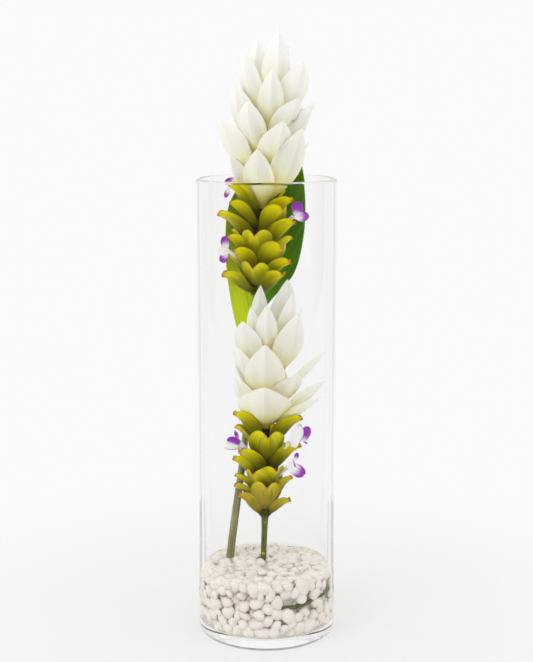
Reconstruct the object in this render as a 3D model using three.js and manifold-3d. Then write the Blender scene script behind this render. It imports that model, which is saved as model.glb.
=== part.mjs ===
// Two flower spikes of a white ginger lily, standing in a tall clear glass cylinder vase with white
// pebbles and water. Millimetres, +Z up, origin at the middle of the vase's foot. The front of the
// arrangement faces -Y.
import * as THREE from 'three';
import { mergeVertices } from 'three/addons/utils/BufferGeometryUtils.js';
import Module from 'manifold-3d';

const wasm = await Module();
wasm.setup();

// Driving sizes of the vase
const VASE_HEIGHT = 508;
const VASE_RADIUS = 76.2;
const WALL = 5.7;
const BASE = 12.5;
const FOOT_ROUND = 5.5;
const FLOOR_ROUND = 4;
const VASE_SIDES = 36;
const ARC_STEPS = 2;
const VASE_INSIDE = VASE_RADIUS - WALL;

// Fill of the vase
const GAP = 0.3;
const WATER_LEVEL = 74;
const WATER_SKIN = 0.8;
const PEBBLE_TOP = 68;
const PEBBLE_SIZE = 12.5;
const PEBBLE_CORE_RADIUS = 60;
const PEBBLE_CORE_SIDES = 20;
const PEBBLE_RINGS = 3;
const RING_STONES = 15;
const TOP_STONES = 22;
const STONE_LENGTH = [0.9, 1.15];
const STONE_WIDTH = [0.75, 0.95];
const STONE_THICKNESS = [0.6, 0.8];
const STONE_TILT = 0.7;
const FIRST_RING = 0.85;
const RING_PITCH = 1.3;
const CORE_COVER = 0.6;
const TOP_INSET = 0.7;
const TOP_UNEVEN = 2.5;
const PEBBLE_REACH = VASE_INSIDE - 2 * GAP - WATER_SKIN;

// Blades of the flowers and the leaf
const BLADE = 0.8;
const WHITE_ROWS = 4;
const GREEN_ROWS = 3;
const BRACT_COLUMNS = 2;
const TIP_WIDTH = 0.7;
const TIP_CROWDING = 1.25;
const MIDRIB_HANDLE = 0.36;

// Stems: where they stand, how they lean and how they thin out. Points are x, y, z.
const TALL_STEM_POINTS = [
  [-44, 22, 24],
  [-40.6, 25, 70],
  [-34.5, 30, 130],
  [-28.4, 35, 178],
  [-21, 39, 250],
  [-15.2, 37, 320],
  [-12.5, 30.5, 366],
  [-12, 28, 376],
];
const TALL_STEM_FOOT_RADIUS = 5;
const TALL_STEM_TOP_RADIUS = 2.8;
const TALL_STEM_SIDES = 10;
const TALL_STEM_STEPS = 16;
const SHORT_STEM_POINTS = [
  [-1.8, 17, 124],
  [-2.6, 19.5, 100],
  [-3.6, 22, 70],
  [-4, 17, 54],
  [-3.5, -4, 47],
  [-1, -34, 45],
  [8, -56, 45.5],
];
const SHORT_STEM_RADIUS = 3.3;
const SHORT_STEM_SIDES = 8;
const SHORT_STEM_STEPS = 26;
const FOOT_RING_RADIUS = PEBBLE_REACH - SHORT_STEM_RADIUS - GAP;
const FOOT_RING_START = -72;
const FOOT_RING_END = -14;
const FOOT_RING_HEIGHT = 46.5;
const FOOT_RING_RISE = 3;
const FOOT_RING_STEPS = 5;

// Axes of the two heads. Each head has a cone of green bracts and a cone of white bracts.
const UPPER_GREEN_BASE = [-12, 28, 376.5];
const UPPER_GREEN_AXIS = [0.0746, -0.057, 1];
const UPPER_GREEN_LENGTH = 97;
const UPPER_WHITE_AXIS = [0.078, -0.05, 1];
const LOWER_GREEN_BASE = [-1.8, 17, 124];
const LOWER_GREEN_AXIS = [0.003, -0.057, 1];
const LOWER_GREEN_LENGTH = 105;
const LOWER_WHITE_AXIS = [0.045, -0.04, 1];
const WHITE_CORE_LENGTH = 128;
const GREEN_CORE_RADIUS = 9.5;
const GREEN_CORE_TOP = 4.5;
const WHITE_CORE_RADIUS = 12;
const WHITE_CORE_TOP = 2.5;
const CORE_SIDES = 8;
const CORE_FOOT_SHARE = 0.55;
const CORE_SHOULDER = 0.08;
const CORE_TAPER_START = 0.55;
const ROOT_DEPTH = 5;
const STEM_SEAT = 0.5;

// How the two sorts of bract are shaped. Leans are measured from the chord between root and tip, in
// degrees, wrap is half the angle that the blade bends round, and widest is where along it that is.
const WHITE_SHAPE = {
  rootLean: 26,
  tipLean: -18,
  wrap: 40,
  crease: 0.12,
  widest: 0.5,
  tipPower: 2.2,
  tipRound: 0.95,
  rootWidth: 0.34,
};
const GREEN_SHAPE = {
  rootLean: 14,
  tipLean: 10,
  wrap: 50,
  crease: 0.14,
  widest: 0.6,
  tipPower: 2.6,
  tipRound: 0.55,
  rootWidth: 0.36,
};

// The bracts of each head, from the bottom up and then those behind. turn is the direction of the
// tip in degrees from the right-hand side, with -90 at the front, and face is the direction that the
// blade's outer face looks in. root and rise are heights on the head's axis, reach is the tip's
// distance from the axis and half is the blade's half width.
const UPPER_WHITE_BRACTS = [
  { turn: -110, face: -105, root: 4, reach: 30, rise: 67, half: 18 },
  { turn: 178, face: -150, root: 5, reach: 40, rise: 58, half: 18 },
  { turn: 12, face: -20, root: 9, reach: 46, rise: 75, half: 16 },
  { turn: -34, face: -56, root: 9, reach: 43, rise: 92, half: 21 },
  { turn: -66, face: -75, root: 40, reach: 36, rise: 99, half: 20 },
  { turn: -175, face: -132, root: 30, reach: 53, rise: 94, half: 21 },
  { turn: -13, face: -48, root: 50, reach: 50, rise: 120, half: 15 },
  { turn: -137, face: -112, root: 55, reach: 32, rise: 117, half: 18 },
  { turn: -36, face: -62, root: 72, reach: 35, rise: 123, half: 20 },
  { turn: -170, face: -132, root: 62, reach: 41, rise: 134, half: 19 },
  { turn: -92, face: -100, root: 88, reach: 23, rise: 151, half: 15 },
  { turn: -24, face: -60, root: 94, reach: 34, rise: 162, half: 18 },
  { turn: 160, face: 168, root: 84, reach: 36, rise: 148, half: 13 },
  { turn: -165, face: -128, root: 98, reach: 33, rise: 168, half: 16 },
  { turn: 35, face: 10, root: 112, reach: 19, rise: 181, half: 12 },
  { turn: 165, face: -118, root: 108, reach: 19, rise: 181, half: 14 },
  { turn: -70, face: -78, root: 114, reach: 9, rise: 193, half: 16 },
  { turn: 120, face: 128, root: 5, reach: 36, rise: 66, half: 19 },
  { turn: 65, face: 50, root: 7, reach: 38, rise: 72, half: 19 },
  { turn: 95, face: 95, root: 34, reach: 40, rise: 96, half: 20 },
  { turn: 140, face: 128, root: 45, reach: 36, rise: 108, half: 18 },
  { turn: 45, face: 60, root: 54, reach: 36, rise: 114, half: 18 },
  { turn: 90, face: 90, root: 74, reach: 32, rise: 130, half: 18 },
  { turn: 118, face: 118, root: 94, reach: 27, rise: 150, half: 16 },
  { turn: 62, face: 62, root: 94, reach: 27, rise: 154, half: 15 },
];
const LOWER_WHITE_BRACTS = [
  { turn: -95, face: -92, root: 4, reach: 38, rise: 57, half: 30 },
  { turn: -160, face: -140, root: 5, reach: 38, rise: 62, half: 20 },
  { turn: -14, face: -52, root: 7, reach: 62, rise: 43, half: 13 },
  { turn: -5, face: -48, root: 14, reach: 66, rise: 60, half: 15 },
  { turn: -32, face: -58, root: 24, reach: 39, rise: 70, half: 20 },
  { turn: 5, face: -42, root: 38, reach: 66, rise: 90, half: 12 },
  { turn: -98, face: -94, root: 28, reach: 32, rise: 103, half: 23 },
  { turn: -155, face: -128, root: 38, reach: 37, rise: 94, half: 17 },
  { turn: 176, face: -158, root: 28, reach: 40, rise: 88, half: 17 },
  { turn: -156, face: -118, root: 62, reach: 33, rise: 124, half: 18 },
  { turn: -28, face: -56, root: 58, reach: 33, rise: 137, half: 20 },
  { turn: 10, face: -20, root: 54, reach: 35, rise: 138, half: 15 },
  { turn: -163, face: -125, root: 88, reach: 23, rise: 139, half: 11 },
  { turn: -104, face: -100, root: 84, reach: 18, rise: 144, half: 13 },
  { turn: -10, face: -50, root: 84, reach: 23, rise: 155, half: 15 },
  { turn: 150, face: -110, root: 101, reach: 14, rise: 161, half: 11 },
  { turn: 20, face: -60, root: 96, reach: 18, rise: 169, half: 17 },
  { turn: 120, face: 120, root: 5, reach: 24, rise: 60, half: 17 },
  { turn: 60, face: 55, root: 6, reach: 34, rise: 66, half: 19 },
  { turn: 88, face: 88, root: 32, reach: 30, rise: 90, half: 18 },
  { turn: 138, face: 130, root: 40, reach: 23, rise: 96, half: 15 },
  { turn: 45, face: 45, root: 50, reach: 31, rise: 112, half: 17 },
  { turn: 88, face: 88, root: 74, reach: 24, rise: 130, half: 16 },
  { turn: 125, face: 120, root: 90, reach: 19, rise: 146, half: 13 },
  { turn: 58, face: 60, root: 92, reach: 20, rise: 150, half: 13 },
];
const UPPER_GREEN_BRACTS = [
  { turn: -160, face: -142, root: 3, reach: 42, rise: 21, half: 18 },
  { turn: -38, face: -60, root: 4, reach: 37, rise: 28, half: 18 },
  { turn: -99, face: -98, root: 10, reach: 37, rise: 37, half: 19 },
  { turn: 165, face: 172, root: 12, reach: 35, rise: 40, half: 12 },
  { turn: -22, face: -46, root: 15, reach: 39, rise: 41, half: 18 },
  { turn: -146, face: -124, root: 21, reach: 35, rise: 51, half: 18 },
  { turn: -48, face: -68, root: 28, reach: 38, rise: 60, half: 19 },
  { turn: 14, face: -8, root: 31, reach: 38, rise: 65, half: 15 },
  { turn: -162, face: -136, root: 36, reach: 38, rise: 64, half: 18 },
  { turn: -100, face: -97, root: 42, reach: 38, rise: 73, half: 20 },
  { turn: 165, face: 170, root: 43, reach: 34, rise: 69, half: 12 },
  { turn: -28, face: -54, root: 52, reach: 42, rise: 86, half: 18 },
  { turn: -172, face: -144, root: 60, reach: 50, rise: 87, half: 19 },
  { turn: -52, face: -70, root: 66, reach: 37, rise: 102, half: 17 },
  { turn: -155, face: -134, root: 73, reach: 40, rise: 102, half: 16 },
  { turn: -25, face: -46, root: 78, reach: 36, rise: 110, half: 17 },
  { turn: 40, face: 20, root: 82, reach: 32, rise: 115, half: 15 },
  { turn: -158, face: -136, root: 87, reach: 43, rise: 122, half: 18 },
  { turn: 100, face: 100, root: 4, reach: 32, rise: 26, half: 18 },
  { turn: 60, face: 60, root: 17, reach: 33, rise: 43, half: 17 },
  { turn: 130, face: 130, root: 26, reach: 32, rise: 52, half: 17 },
  { turn: 85, face: 85, root: 41, reach: 32, rise: 67, half: 18 },
  { turn: 50, face: 50, root: 56, reach: 34, rise: 84, half: 17 },
  { turn: 120, face: 120, root: 60, reach: 32, rise: 88, half: 17 },
  { turn: 90, face: 90, root: 80, reach: 31, rise: 108, half: 17 },
];
const LOWER_GREEN_BRACTS = [
  { turn: -161, face: -136, root: 3, reach: 33, rise: 29, half: 16 },
  { turn: -20, face: -50, root: 4, reach: 31, rise: 22, half: 15 },
  { turn: -86, face: -88, root: 9, reach: 32, rise: 46, half: 21 },
  { turn: -172, face: -146, root: 15, reach: 36, rise: 38, half: 14 },
  { turn: -10, face: -38, root: 18, reach: 32, rise: 48, half: 14 },
  { turn: -113, face: -108, root: 27, reach: 35, rise: 62, half: 18 },
  { turn: -178, face: -160, root: 26, reach: 35, rise: 49, half: 12 },
  { turn: -68, face: -76, root: 33, reach: 35, rise: 66, half: 18 },
  { turn: -165, face: -138, root: 42, reach: 38, rise: 71, half: 17 },
  { turn: -140, face: -124, root: 51, reach: 38, rise: 84, half: 19 },
  { turn: -20, face: -52, root: 55, reach: 43, rise: 88, half: 18 },
  { turn: -85, face: -86, root: 66, reach: 38, rise: 106, half: 24 },
  { turn: 175, face: -170, root: 76, reach: 35, rise: 105, half: 13 },
  { turn: -160, face: -136, root: 89, reach: 38, rise: 125, half: 18 },
  { turn: -12, face: -44, root: 87, reach: 43, rise: 118, half: 18 },
  { turn: 95, face: 95, root: 4, reach: 28, rise: 26, half: 17 },
  { turn: 55, face: 50, root: 17, reach: 31, rise: 43, half: 17 },
  { turn: 118, face: 118, root: 28, reach: 25, rise: 52, half: 15 },
  { turn: 80, face: 80, root: 38, reach: 30, rise: 66, half: 17 },
  { turn: 40, face: 34, root: 50, reach: 34, rise: 78, half: 17 },
  { turn: 115, face: 115, root: 60, reach: 25, rise: 86, half: 15 },
  { turn: 70, face: 70, root: 73, reach: 33, rise: 100, half: 18 },
  { turn: 118, face: 118, root: 88, reach: 26, rise: 113, half: 15 },
];

// Florets: each tube leaves the core at root, and its mouth stands at reach from the axis and at rise
// along it. The lobes open a little past the mouth.
const FLORET_TUBE_RADIUS = 1.6;
const FLORET_SWELL = 1.3;
const FLORET_ROOT_SINK = 2;
const FLORET_BEND_RISE = 0.3;
const FLORET_BEND_REACH = 0.55;
const FLORET_LOBES = 3;
const LOBE_CORNERS = 3;
const FLORET_LOBE_LENGTH = 10.5;
const LOBE_NOTCH = 0.35;
const LOBE_FLARE = 0.95;
const LIP_AHEAD = 2.5;
const THROAT_AHEAD = 1.2;
const UPPER_FLORETS = [
  { name: 'floret_upper_left_top', turn: -178, root: 96, reach: 38, rise: 116 },
  { name: 'floret_upper_right', turn: -14, root: 70, reach: 41, rise: 99 },
  { name: 'floret_upper_left', turn: -176, root: 34, reach: 36, rise: 50 },
  { name: 'floret_upper_back', turn: 72, root: 46, reach: 25, rise: 74 },
];
const LOWER_FLORETS = [
  { name: 'floret_lower_left', turn: -168, root: 66, reach: 34, rise: 94 },
  { name: 'floret_lower_right_top', turn: -24, root: 70, reach: 43, rise: 101 },
  { name: 'floret_lower_right', turn: -30, root: 44, reach: 39, rise: 70 },
  { name: 'floret_lower_back', turn: 96, root: 50, reach: 26, rise: 76 },
];

// The leaf stands behind the upper head and bends with the glass. Stations run from its foot to its
// tip: x and z of the midrib, and how far the blade reaches to the left and right of it.
const LEAF_STATIONS = [
  { x: -18, z: 286, left: 2, right: 2 },
  { x: -19.5, z: 318, left: 11, right: 9 },
  { x: -20, z: 352, left: 19, right: 20 },
  { x: -18, z: 392, left: 28, right: 41 },
  { x: -9, z: 434, left: 38, right: 53 },
  { x: 6, z: 478, left: 44, right: 39 },
  { x: 20, z: 516, left: 28, right: 19 },
  { x: 28, z: 548, left: 2, right: 2 },
];
const LEAF_FOOT_DEPTH = 42.7;
const LEAF_BEND_RADIUS = 63;
const LEAF_SETTLED = 0.35;
const LEAF_CUP = 4;
const LEAF_ROWS = 9;
const LEAF_COLUMNS = 4;

const PEARL_WHITE = 0xf1f0e6;
const OLIVE_GREEN = 0x9c9a1c;
const STEM_GREEN = 0x66702c;
const LEAF_GREEN = 0x4f8c14;
const FLORET_PURPLE = 0x9a5cb4;
const PEBBLE_WHITE = 0xe9e4de;
const GLASS_TINT = 0xe8f0f0;
const WATER_TINT = 0xdfe9ea;

const WELD_DISTANCE = 1e-4;
const FLAT_TOLERANCE = 0.02;
const RANDOM_SEED = 7;
const RANDOM_STEP = 16807;
const RANDOM_RANGE = 2147483647;

const part = new THREE.Group();

function toSolid(geometry) {
  const bare = geometry.clone();
  bare.deleteAttribute('normal');
  bare.deleteAttribute('uv');
  const merged = mergeVertices(bare, WELD_DISTANCE);
  return new wasm.Manifold(new wasm.Mesh({
    numProp: 3,
    vertProperties: new Float32Array(merged.attributes.position.array),
    triVerts: new Uint32Array(merged.index.array),
  }));
}

function toGeometry(solid) {
  const mesh = solid.getMesh();
  const geometry = new THREE.BufferGeometry();
  geometry.setAttribute('position', new THREE.BufferAttribute(mesh.vertProperties, 3));
  geometry.setIndex(new THREE.BufferAttribute(mesh.triVerts, 1));
  geometry.computeVertexNormals();
  return geometry;
}

// One body: what fusing seals inside is filled, and a loose scrap is dropped
function fuse(solids) {
  const whole = wasm.Manifold.union(solids);
  const bodies = whole.decompose();
  bodies.sort((a, b) => b.volume() - a.volume());
  return bodies[0].simplify(FLAT_TOLERANCE);
}

function addPiece(name, geometry, color, roughness, extra = {}) {
  const material = new THREE.MeshStandardMaterial({ color, roughness, metalness: 0, ...extra });
  const mesh = new THREE.Mesh(geometry, material);
  mesh.name = name;
  part.add(mesh);
}

// A closed skin over a grid of rows: every row is a closed ring, and the two end rings are capped
function ringSkin(rings) {
  const sides = rings[0].length;
  const positions = rings.flat().flatMap((p) => [p.x, p.y, p.z]);
  const index = [];
  for (let i = 0; i < rings.length - 1; i += 1) {
    for (let j = 0; j < sides; j += 1) {
      const a = i * sides + j;
      const b = i * sides + (j + 1) % sides;
      index.push(a, b, b + sides, a, b + sides, a + sides);
    }
  }
  const last = (rings.length - 1) * sides;
  for (let j = 1; j < sides - 1; j += 1) {
    index.push(0, j + 1, j);
    index.push(last, last + j, last + j + 1);
  }
  const geometry = new THREE.BufferGeometry();
  geometry.setAttribute('position', new THREE.Float32BufferAttribute(positions, 3));
  geometry.setIndex(index);
  return geometry;
}

// A round tube along a curve, whose radius changes with the share of its length
function tube(curve, radiusAt, sides, steps) {
  const frames = curve.computeFrenetFrames(steps, false);
  const rings = [];
  for (let i = 0; i <= steps; i += 1) {
    const centre = curve.getPointAt(i / steps);
    const ring = [];
    for (let j = 0; j < sides; j += 1) {
      const angle = (2 * Math.PI * j) / sides;
      const out = frames.normals[i].clone().multiplyScalar(Math.cos(angle));
      out.addScaledVector(frames.binormals[i], Math.sin(angle));
      ring.push(centre.clone().addScaledVector(out, radiusAt(i / steps)));
    }
    rings.push(ring);
  }
  return ringSkin(rings);
}

// A thin blade: the sheet surface(along, across) is thickened evenly to both sides, and both faces
// are split into triangles alike
function blade(surface, rows, columns, thickness) {
  const grid = [];
  for (let i = 0; i <= rows; i += 1) {
    grid.push([]);
    for (let j = 0; j <= columns; j += 1) {
      grid[i].push(surface(i / rows, (2 * j) / columns - 1));
    }
  }
  const across = (i, j) => {
    const right = grid[i][Math.min(j + 1, columns)];
    const left = grid[i][Math.max(j - 1, 0)];
    return right.clone().sub(left);
  };
  const along = (i, j) => {
    const next = grid[Math.min(i + 1, rows)][j];
    const before = grid[Math.max(i - 1, 0)][j];
    return next.clone().sub(before);
  };
  const faces = [[], []];
  for (let i = 0; i <= rows; i += 1) {
    for (let j = 0; j <= columns; j += 1) {
      const normal = across(i, j).cross(along(i, j)).normalize();
      faces[0].push(grid[i][j].clone().addScaledVector(normal, thickness / 2));
      faces[1].push(grid[i][j].clone().addScaledVector(normal, -thickness / 2));
    }
  }
  const wide = columns + 1;
  const back = (rows + 1) * wide;
  const index = [];
  for (let i = 0; i < rows; i += 1) {
    for (let j = 0; j < columns; j += 1) {
      const a = i * wide + j;
      const b = a + 1;
      const c = a + wide;
      const d = c + 1;
      index.push(a, b, d, a, d, c);
      index.push(back + a, back + d, back + b, back + a, back + c, back + d);
    }
  }
  const edge = [];
  for (let j = 0; j < columns; j += 1) edge.push(j);
  for (let i = 0; i < rows; i += 1) edge.push(i * wide + columns);
  for (let j = columns; j > 0; j -= 1) edge.push(rows * wide + j);
  for (let i = rows; i > 0; i -= 1) edge.push(i * wide);
  edge.forEach((a, k) => {
    const b = edge[(k + 1) % edge.length];
    index.push(b, a, back + a, b, back + a, back + b);
  });
  const positions = faces.flat().flatMap((p) => [p.x, p.y, p.z]);
  const geometry = new THREE.BufferGeometry();
  geometry.setAttribute('position', new THREE.Float32BufferAttribute(positions, 3));
  geometry.setIndex(index);
  return geometry;
}

// The frame of a head: its foot, its axis, and two directions across it, the first to the right
function headFrame(base, axis) {
  const up = new THREE.Vector3(...axis).normalize();
  const right = new THREE.Vector3(1, 0, 0).addScaledVector(up, -up.x).normalize();
  const back = new THREE.Vector3().crossVectors(up, right);
  return { base: new THREE.Vector3(...base), up, right, back };
}

function onAxis(frame, height) {
  return frame.base.clone().addScaledVector(frame.up, height);
}

function outward(frame, turn) {
  const angle = THREE.MathUtils.degToRad(turn);
  const out = frame.right.clone().multiplyScalar(Math.cos(angle));
  return out.addScaledVector(frame.back, Math.sin(angle));
}

// Width of a bract along its length, as a share of its widest: it swells from the root and closes to
// a tip that is sharp or blunt
function widthShare(along, shape) {
  if (along < shape.widest) {
    const swell = Math.sin((Math.PI / 2) * (along / shape.widest));
    return shape.rootWidth + (1 - shape.rootWidth) * swell;
  }
  const left = (along - shape.widest) / (1 - shape.widest);
  return (1 - left ** shape.tipPower) ** shape.tipRound;
}

// The sheet of one bract: a bent midrib from the axis to the tip, and across it an arc that wraps
// towards the axis, with a crease at the midrib
function bractSheet(frame, bract, shape) {
  const out = outward(frame, bract.turn);
  const level = new THREE.Vector3().crossVectors(frame.up, outward(frame, bract.face));
  const chord = new THREE.Vector2(bract.reach - ROOT_DEPTH, bract.rise - bract.root);
  const lean = Math.atan2(chord.x, chord.y);
  const handle = chord.length() * MIDRIB_HANDLE;
  const bend = (degrees) => {
    const angle = lean + THREE.MathUtils.degToRad(degrees);
    return new THREE.Vector2(Math.sin(angle), Math.cos(angle)).multiplyScalar(handle);
  };
  const start = new THREE.Vector2(ROOT_DEPTH, bract.root);
  const end = new THREE.Vector2(bract.reach, bract.rise);
  const midrib = new THREE.CubicBezierCurve(
    start,
    start.clone().add(bend(shape.rootLean)),
    end.clone().sub(bend(shape.tipLean)),
    end,
  );
  const wrap = THREE.MathUtils.degToRad(shape.wrap);
  return (share, across) => {
    const along = 1 - (1 - share) ** TIP_CROWDING;
    const flat = midrib.getPoint(along);
    const slope = midrib.getTangent(along);
    const centre = onAxis(frame, flat.y).addScaledVector(out, flat.x);
    const ahead = out.clone().multiplyScalar(slope.x).addScaledVector(frame.up, slope.y);
    const side = level.clone().addScaledVector(ahead, -level.dot(ahead)).normalize();
    const inward = new THREE.Vector3().crossVectors(ahead, side);
    const half = Math.max(bract.half * widthShare(along, shape), TIP_WIDTH / 2);
    const arc = (half * (1 - Math.cos(wrap * across))) / wrap;
    return centre
      .addScaledVector(side, (half * Math.sin(wrap * across)) / wrap)
      .addScaledVector(inward, arc + shape.crease * half * Math.abs(across));
  };
}

function bractSolid(frame, bract, shape, rows) {
  return toSolid(blade(bractSheet(frame, bract, shape), rows, BRACT_COLUMNS, BLADE));
}

// The fleshy axis inside a head, as a turned spindle from one height to another
function coreSolid(frame, from, to, radius, topRadius) {
  const length = to - from;
  const points = [
    new THREE.Vector2(0, 0),
    new THREE.Vector2(radius * CORE_FOOT_SHARE, 0),
    new THREE.Vector2(radius, length * CORE_SHOULDER),
    new THREE.Vector2(radius, length * CORE_TAPER_START),
    new THREE.Vector2(topRadius, length),
    new THREE.Vector2(0, length),
  ];
  const lathe = new THREE.LatheGeometry(points, CORE_SIDES);
  lathe.rotateX(Math.PI / 2);
  const turn = new THREE.Quaternion().setFromUnitVectors(new THREE.Vector3(0, 0, 1), frame.up);
  lathe.applyQuaternion(turn);
  const foot = onAxis(frame, from);
  lathe.translate(foot.x, foot.y, foot.z);
  return toSolid(lathe);
}

// A floret: a slim tube out of the head that opens into three lobes, as one skin. Every ring has
// three corners to a lobe: the notch beside it and the two corners of its end. spare makes the larger
// solid that its socket is cut with.
function floretSolid(frame, floret, spare) {
  const out = outward(frame, floret.turn);
  const root = onAxis(frame, floret.root).addScaledVector(out, GREEN_CORE_RADIUS - FLORET_ROOT_SINK);
  const mouth = onAxis(frame, floret.rise).addScaledVector(out, floret.reach);
  const middle = onAxis(frame, floret.root + (floret.rise - floret.root) * FLORET_BEND_RISE);
  middle.addScaledVector(out, floret.reach * FLORET_BEND_REACH);
  const curve = new THREE.QuadraticBezierCurve3(root, middle, mouth);
  const ahead = curve.getTangentAt(1);
  const level = new THREE.Vector3().crossVectors(frame.up, ahead).normalize();
  const rise = new THREE.Vector3().crossVectors(ahead, level);
  const sides = LOBE_CORNERS * FLORET_LOBES;
  const ring = (centre, notch, end) => {
    const points = [];
    for (let k = 0; k < sides; k += 1) {
      const turn = (2 * Math.PI * k) / sides;
      const radius = (k % LOBE_CORNERS === 0 ? notch : end) + spare;
      const spoke = level.clone().multiplyScalar(radius * Math.cos(turn));
      points.push(centre.clone().add(spoke).addScaledVector(rise, radius * Math.sin(turn)));
    }
    return points;
  };
  const slim = FLORET_TUBE_RADIUS;
  const swollen = FLORET_TUBE_RADIUS * FLORET_SWELL;
  const notch = FLORET_LOBE_LENGTH * LOBE_NOTCH;
  const foot = curve.getPointAt(0).addScaledVector(curve.getTangentAt(0), -spare);
  const neck = curve.getPointAt(0.9).addScaledVector(ahead, -2 * spare);
  const behindLip = mouth.clone().addScaledVector(ahead, LIP_AHEAD - 2 * spare);
  const beforeLip = mouth.clone().addScaledVector(ahead, LIP_AHEAD + BLADE + 2 * spare);
  const throat = mouth.clone().addScaledVector(ahead, THROAT_AHEAD + spare);
  return toSolid(ringSkin([
    ring(foot, slim, slim),
    ring(curve.getPointAt(0.45), slim, slim),
    ring(neck, swollen, swollen),
    ring(behindLip, notch, FLORET_LOBE_LENGTH * LOBE_FLARE),
    ring(beforeLip, notch, FLORET_LOBE_LENGTH),
    ring(throat, slim, slim),
  ]));
}

// A smooth path through listed points
function pathThrough(points) {
  const path = points.map((p) => new THREE.Vector3(...p));
  return new THREE.CatmullRomCurve3(path, false, 'centripetal');
}

function addVase() {
  const lipRadius = WALL / 2;
  const profile = new THREE.Path();
  profile.moveTo(0, 0);
  profile.lineTo(VASE_RADIUS - FOOT_ROUND, 0);
  profile.absarc(VASE_RADIUS - FOOT_ROUND, FOOT_ROUND, FOOT_ROUND, -Math.PI / 2, 0, false);
  profile.lineTo(VASE_RADIUS, VASE_HEIGHT - lipRadius);
  profile.absarc(VASE_RADIUS - lipRadius, VASE_HEIGHT - lipRadius, lipRadius, 0, Math.PI, false);
  profile.lineTo(VASE_INSIDE, BASE + FLOOR_ROUND);
  profile.absarc(VASE_INSIDE - FLOOR_ROUND, BASE + FLOOR_ROUND, FLOOR_ROUND, 0, -Math.PI / 2, true);
  profile.lineTo(0, BASE);
  const lathe = new THREE.LatheGeometry(profile.getPoints(ARC_STEPS), VASE_SIDES);
  lathe.rotateX(Math.PI / 2);
  addPiece('vase', toGeometry(toSolid(lathe)), GLASS_TINT, 0.05, { transparent: true, opacity: 0.35 });
}

function stemSolids(spare) {
  const tallRadius = (share) => {
    const top = TALL_STEM_TOP_RADIUS - TALL_STEM_FOOT_RADIUS;
    return TALL_STEM_FOOT_RADIUS + top * share + spare;
  };
  const tallPath = pathThrough(TALL_STEM_POINTS);
  const tall = toSolid(tube(tallPath, tallRadius, TALL_STEM_SIDES, TALL_STEM_STEPS));
  const ringPoints = [];
  for (let i = 0; i <= FOOT_RING_STEPS; i += 1) {
    const share = i / FOOT_RING_STEPS;
    const turn = THREE.MathUtils.degToRad(FOOT_RING_START + (FOOT_RING_END - FOOT_RING_START) * share);
    ringPoints.push([
      FOOT_RING_RADIUS * Math.cos(turn),
      FOOT_RING_RADIUS * Math.sin(turn),
      FOOT_RING_HEIGHT + FOOT_RING_RISE * share,
    ]);
  }
  const shortPath = pathThrough([...SHORT_STEM_POINTS, ...ringPoints]);
  const shortRadius = () => SHORT_STEM_RADIUS + spare;
  const short = toSolid(tube(shortPath, shortRadius, SHORT_STEM_SIDES, SHORT_STEM_STEPS));
  return { tall, short };
}

// A rounded stone of uneven shape, turned at random about its own middle. random(low, high) draws
// the next number between two limits.
function stoneShape(random) {
  const geometry = new THREE.IcosahedronGeometry(1, 0);
  const long = PEBBLE_SIZE * random(...STONE_LENGTH);
  const wide = PEBBLE_SIZE * random(...STONE_WIDTH);
  const flat = PEBBLE_SIZE * random(...STONE_THICKNESS);
  geometry.scale(long, wide, flat);
  geometry.rotateX(random(-STONE_TILT, STONE_TILT));
  geometry.rotateY(random(-STONE_TILT, STONE_TILT));
  geometry.rotateZ(random(0, Math.PI));
  return geometry;
}

// A stone that lies against the glass: pushed out until its furthest corner meets the wall
function wallStone(turn, height, random) {
  const geometry = stoneShape(random);
  geometry.rotateZ(turn);
  const corners = geometry.attributes.position;
  let reach = 0;
  for (let i = 0; i < corners.count; i += 1) {
    const out = corners.getX(i) * Math.cos(turn) + corners.getY(i) * Math.sin(turn);
    const aside = corners.getY(i) * Math.cos(turn) - corners.getX(i) * Math.sin(turn);
    reach = Math.max(reach, out + (aside * aside) / (2 * PEBBLE_REACH));
  }
  const radius = PEBBLE_REACH - reach - GAP;
  geometry.translate(radius * Math.cos(turn), radius * Math.sin(turn), height);
  return toSolid(geometry);
}

// A stone on top of the bed, lowered until its highest corner is at the given height
function topStone(x, y, top, random) {
  const geometry = stoneShape(random);
  geometry.computeBoundingBox();
  geometry.translate(x, y, top - geometry.boundingBox.max.z);
  return toSolid(geometry);
}

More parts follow.
